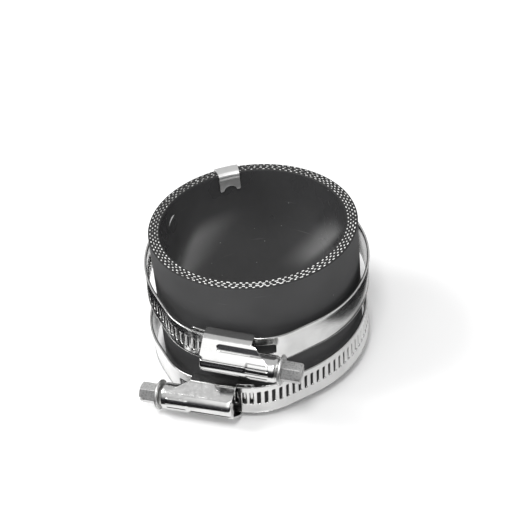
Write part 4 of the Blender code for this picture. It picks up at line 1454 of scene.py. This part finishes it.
def clip_mesh(bevel):
    node = frame["nodes"]["rim_clip"]
    tip = max(hypot(vert.co.x - HOSE_AXIS.x, vert.co.y - HOSE_AXIS.y) for vert in node.data.vertices)
    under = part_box("rim_clip")[0].z
    inner = HOSE_BORE_RADIUS - GAP
    outer = HOSE_RADIUS + GAP
    top = HOSE_HIGH.z + GAP
    points = [(inner, top - CLIP_INNER_LEG), (inner, top - CLIP_CREASE),
              (inner - CLIP_BULGE, top - CLIP_CREASE / 2), (inner - CLIP_BULGE / 2, top - CLIP_BULGE),
              (inner + CLIP_BULGE, top), (outer - CLIP_BULGE, top), (outer, top - CLIP_BULGE),
              (outer, under), (tip, under), (tip, under + CLIP_HOOK)]
    path = rounded_path(points, CLIP_BENDS)
    leg = path[1] - path[0]
    path = [path[0] + leg * step / CLIP_TOOTH_ROWS for step in range(CLIP_TOOTH_ROWS)] + path[1:]
    half_angle = CLIP_WIDTH / 2 / HOSE_RADIUS
    tooth = CLIP_TOOTH / HOSE_RADIUS
    columns = 40
    bm = bmesh.new()
    fronts = []
    backs = []
    for index, point in enumerate(path):
        nearer = path[max(index - 1, 0)]
        further = path[min(index + 1, len(path) - 1)]
        along = (further - nearer).normalized()
        offset = Vector((-along.y, along.x)) * CLIP_SHEET
        front = []
        back = []
        for step in range(columns + 1):
            share = 2 * step / columns - 1
            angle = CLIP_AZIMUTH + half_angle * share
            lift = 0.0
            if index < CLIP_TOOTH_ROWS:
                reach = min(abs(share) * half_angle / (half_angle - tooth), 1.0)
                arch = CLIP_NOTCH * sqrt(1 - reach ** 2)
                edge = max(0.0, abs(share) - CLIP_CORNER_START) / (1 - CLIP_CORNER_START)
                lift = (arch + CLIP_CORNER * edge ** 2) * (1 - index / CLIP_TOOTH_ROWS)
            for row, place in ((front, point), (back, point + offset)):
                row.append(bm.verts.new((HOSE_AXIS.x + place.x * cos(angle),
                                         HOSE_AXIS.y + place.x * sin(angle), place.y + lift)))
        fronts.append(front)
        backs.append(back)
    cells = [(row, column) for row in range(len(path) - 1) for column in range(columns)]
    add_sheet(bm, fronts, backs, cells)
    return smooth(bevelled("clip", to_mesh("clip", bm), bevel), radians(40))


# Operators


class CHARGEHOSE_OT_sleeve(bpy.types.Operator):
    """Makes the rubber sleeve in place of the plain one"""

    bl_idname = "charge_hose.sleeve"
    bl_label = "Rubber Sleeve"

    def execute(self, context):
        looks = context.scene.hose_looks
        show("hose_sleeve", sleeve_mesh(looks.edge_round), "root",
             rubber_material(looks), "hose")
        return {"FINISHED"}


class CHARGEHOSE_OT_plies(bpy.types.Operator):
    """Sets the knitted ply ends into both cut rims"""

    bl_idname = "charge_hose.plies"
    bl_label = "Knitted Plies"

    def execute(self, context):
        looks = context.scene.hose_looks
        carrier = link_object("ply_carrier", bpy.data.meshes.new("ply_carrier"))
        tree = ply_tree()
        material = yarn_material(looks)
        rims = (("rim_plies_top", HOSE_HIGH.z, 1.0, YARN_PROUD),
                ("rim_plies_bottom", HOSE_LOW.z, -1.0, YARN_FLUSH))
        for name, rim, upward, proud in rims:
            height = rim + upward * (proud - looks.yarn)
            bm = bmesh.new()
            for ply, inset in enumerate(PLY_INSETS):
                mesh = tree.run(carrier, {
                    "Stitches": looks.stitches - 2 * ply, "Inner Radius": HOSE_BORE_RADIUS + inset,
                    "Outer Radius": HOSE_BORE_RADIUS + inset + PLY_DEPTH, "Height": height,
                    "Upward": upward, "Dip": YARN_DIP * looks.yarn, "Yarn Radius": looks.yarn,
                    "Front Angle": FRONT_ANGLE, "Clean Angle": CLEAN_ANGLE,
                    "Seed": looks.seed + PLY_SEED_STEP * ply, "Material": material})
                bm.from_mesh(mesh)
            mesh = smooth(to_mesh(name, bm), radians(80))
            mesh.transform(Matrix.Translation(HOSE_AXIS))
            show(name, mesh, "root", material)
        bpy.data.objects.remove(carrier, do_unlink=True)
        return {"FINISHED"}


class CHARGEHOSE_OT_bands(bpy.types.Operator):
    """Stamps each clamp's strip flat and rolls it round its loop"""

    bl_idname = "charge_hose.bands"
    bl_label = "Clamp Bands"

    def execute(self, context):
        looks = context.scene.clamp_looks
        material = steel_material("band_steel", tuple(looks.steel), looks.roughness + 0.04,
                                  (120.0, 3000.0, 120.0), "strip", 0.02)
        cell = slot_cell_object(looks)
        blank = plain_blank_object()
        path = path_object()
        tree = band_tree()
        mesh = tree.run(blank, {
            "Slot Cell": cell, "Path": path, "Slots": SLOT_COUNT, "First Slot": FIRST_SLOT,
            "Pitch": SLOT_PITCH, "Path Start": BAND_START - PATH_MARGIN, "Path Step": PATH_STEP,
            "Material": material})
        smooth(mesh, radians(48))
        for name in CLAMPS:
            copy = mesh.copy()
            copy.transform(clamp_matrix(name))
            show(name + "_band_strip", copy, "root", material, name + "_band")
        for item in (cell, blank, path):
            bpy.data.objects.remove(item, do_unlink=True)
        return {"FINISHED"}


class CHARGEHOSE_OT_housings(bpy.types.Operator):
    """Presses each clamp's housing with its groove, seam and neck pads"""

    bl_idname = "charge_hose.housings"
    bl_label = "Clamp Housings"

    def execute(self, context):
        looks = context.scene.clamp_looks
        material = steel_material("housing_steel", tuple(looks.steel), looks.roughness,
                                  (900.0, 900.0, 900.0))
        mesh = housing_mesh(looks)
        for name in CLAMPS:
            copy = mesh.copy()
            copy.transform(clamp_matrix(name))
            show(name + "_housing_shell", copy, "root", material,
                 name + "_housing")
        return {"FINISHED"}


class CHARGEHOSE_OT_screws(bpy.types.Operator):
    """Turns each clamp's worm screw with its flange and hexagon"""

    bl_idname = "charge_hose.screws"
    bl_label = "Clamp Screws"

    def execute(self, context):
        looks = context.scene.clamp_looks
        material = screw_material(looks)
        mesh = screw_mesh(looks)
        for name in CLAMPS:
            copy = mesh.copy()
            copy.transform(clamp_matrix(name))
            show(name + "_worm_screw", copy, name + "_screw_turn", material,
                 name + "_screw")
        return {"FINISHED"}


class CHARGEHOSE_OT_clip(bpy.types.Operator):
    """Bends the spring clip over the rim"""

    bl_idname = "charge_hose.clip"
    bl_label = "Rim Clip"

    def execute(self, context):
        looks = context.scene.clamp_looks
        colour = [value * 1.25 for value in looks.steel]
        material = steel_material("clip_steel", colour, looks.roughness + 0.27,
                                  (700.0, 700.0, 2500.0))
        show("rim_clip_sheet", clip_mesh(looks.edge_bevel), "root", material,
             "rim_clip")
        return {"FINISHED"}


def add_softbox(name, place, target, width, depth, power):
    light = bpy.data.lights.new(name, "AREA")
    light.shape = "RECTANGLE"
    light.size = width
    light.size_y = depth
    light.energy = power
    item = link_object(name, light)
    item.location = place
    item.rotation_euler = (Vector(target) - Vector(place)).to_track_quat("-Z", "Y").to_euler()


class CHARGEHOSE_OT_stage(bpy.types.Operator):
    """Lays the floor and sets the sky, the lights and the camera"""

    bl_idname = "charge_hose.stage"
    bl_label = "Stage"

    def execute(self, context):
        looks = context.scene.stage_looks
        self.add_floor(looks)
        self.add_flag(looks)
        self.add_sky(context, looks)
        middle = HOSE_AXIS + Vector((0.0, 0.0, HOSE_HIGH.z / 2))
        for name, power, place, width, depth in SOFTBOXES:
            add_softbox(name, place, middle, width, depth, getattr(looks, power))
        self.add_camera(context)
        context.scene.view_settings.view_transform = "Standard"
        return {"FINISHED"}

    def add_floor(self, looks):
        half = 3.0
        material, make, shader = new_material("floor", tuple(looks.floor), 0.6, 0.0)
        shader.inputs["Specular IOR Level"].default_value = 0.0
        place = make.add("ShaderNodeTexCoord").outputs["Object"]
        grain = noise(make, place, 700.0, 2.0)
        make.link(map_range(make, grain, 0.3, 0.7, 0.55, 0.65), shader.inputs["Roughness"])
        mesh = bpy.data.meshes.new("floor")
        mesh.from_pydata([(-half, -half, 0), (half, -half, 0), (half, half, 0), (-half, half, 0)],
                         [], [(0, 1, 2, 3)])
        mesh.materials.append(material)
        link_object("floor", mesh)

    def add_flag(self, looks):
        """A dark card on the floor with an oval opening, which only the steel's gloss sees.

        It reaches far out in front, and is narrow at the sides and the back.
        """
        material, make, shader = new_material("flag", (0.012, 0.012, 0.013), 0.9, 0.0)
        shader.inputs["Specular IOR Level"].default_value = 0.0
        weave = noise(make, make.add("ShaderNodeTexCoord").outputs["Object"], 300.0, 2.0)
        make.link(map_range(make, weave, 0.3, 0.7, 0.8, 1.0), shader.inputs["Roughness"])
        inner = []
        outer = []
        for side in range(FLAG_SIDES):
            angle = 2 * pi * side / FLAG_SIDES
            ahead = smooth_step(cos(FLAG_FADE[0]), cos(FLAG_FADE[1]), cos(angle - FLAG_FACING))
            reach = FLAG_NARROW + (FLAG_FAR - FLAG_NARROW) * ahead
            for points, half_x, half_y in ((inner, *looks.opening), (outer, reach, reach)):
                points.append((HOSE_AXIS.x + half_x * cos(angle),
                               HOSE_AXIS.y + half_y * sin(angle), FLAG_HEIGHT))
        faces = []
        for side in range(FLAG_SIDES):
            after = (side + 1) % FLAG_SIDES
            faces.append((side, side + FLAG_SIDES, after + FLAG_SIDES, after))
        mesh = bpy.data.meshes.new("flag")
        mesh.from_pydata(inner + outer, [], faces)
        mesh.materials.append(material)
        card = link_object("flag", mesh)
        card.visible_camera = False
        card.visible_diffuse = False
        card.visible_shadow = False
        card.visible_transmission = False

    def add_sky(self, context, looks):
        world = bpy.data.worlds.new("studio")
        world.use_nodes = True
        context.scene.world = world
        make = NodeMaker(world.node_tree)
        background = world.node_tree.nodes["Background"]
        direction = make.add("ShaderNodeTexCoord").outputs["Generated"]
        height = make.add("ShaderNodeSeparateXYZ", {0: direction}).outputs[2]
        ramp = make.add("ShaderNodeValToRGB", {0: height})
        ramp.color_ramp.elements[0].position = 0.14
        ramp.color_ramp.elements[0].color = (0.10, 0.10, 0.11, 1.0)
        ramp.color_ramp.elements[1].position = 0.50
        ramp.color_ramp.elements[1].color = (1.0, 1.0, 1.0, 1.0)
        make.link(ramp.outputs[0], background.inputs["Color"])
        background.inputs["Strength"].default_value = looks.sky

    def add_camera(self, context):
        camera = bpy.data.cameras.new("camera")
        camera.sensor_width = SENSOR_WIDTH
        camera.lens = LENS
        camera.clip_start = 0.01
        item = link_object("camera", camera)
        up = CAMERA_RIGHT.cross(CAMERA_FORWARD)
        rotation = Matrix((CAMERA_RIGHT, up, -CAMERA_FORWARD)).transposed()
        rim = HOSE_AXIS + Vector((0.0, 0.0, HOSE_HIGH.z))
        item.matrix_world = Matrix.Translation(rim + CAMERA_FROM_RIM) @ rotation.to_4x4()
        context.scene.camera = item


OPERATORS = (CHARGEHOSE_OT_sleeve, CHARGEHOSE_OT_plies, CHARGEHOSE_OT_bands,
             CHARGEHOSE_OT_housings, CHARGEHOSE_OT_screws, CHARGEHOSE_OT_clip,
             CHARGEHOSE_OT_stage)


class CHARGEHOSE_PT_pieces(bpy.types.Panel):
    """Lists the pieces and their sizes and colours"""

    bl_label = "Charge Air Hose"
    bl_idname = "CHARGEHOSE_PT_pieces"
    bl_space_type = "VIEW_3D"
    bl_region_type = "UI"
    bl_category = "Hose"

    def draw(self, context):
        for operator in OPERATORS:
            self.layout.operator(operator.bl_idname)
        for group in ("hose_looks", "clamp_looks", "stage_looks"):
            looks = getattr(context.scene, group)
            box = self.layout.box()
            for name in looks.bl_rna.properties.keys():
                if name not in ("rna_type", "name"):
                    box.prop(looks, name)


CLASSES = (HoseLooks, ClampLooks, StageLooks, *OPERATORS, CHARGEHOSE_PT_pieces)
GROUPS = {"hose_looks": HoseLooks, "clamp_looks": ClampLooks, "stage_looks": StageLooks}


def register():
    for item in CLASSES:
        bpy.utils.register_class(item)
    for name, group in GROUPS.items():
        setattr(bpy.types.Scene, name, PointerProperty(type=group))


def unregister():
    for name in GROUPS:
        delattr(bpy.types.Scene, name)
    for item in reversed(CLASSES):
        bpy.utils.unregister_class(item)


def main():
    register()
    bpy.ops.charge_hose.sleeve()
    bpy.ops.charge_hose.plies()
    bpy.ops.charge_hose.bands()
    bpy.ops.charge_hose.housings()
    bpy.ops.charge_hose.screws()
    bpy.ops.charge_hose.clip()
    bpy.ops.charge_hose.stage()


if __name__ == "__main__":
    main()
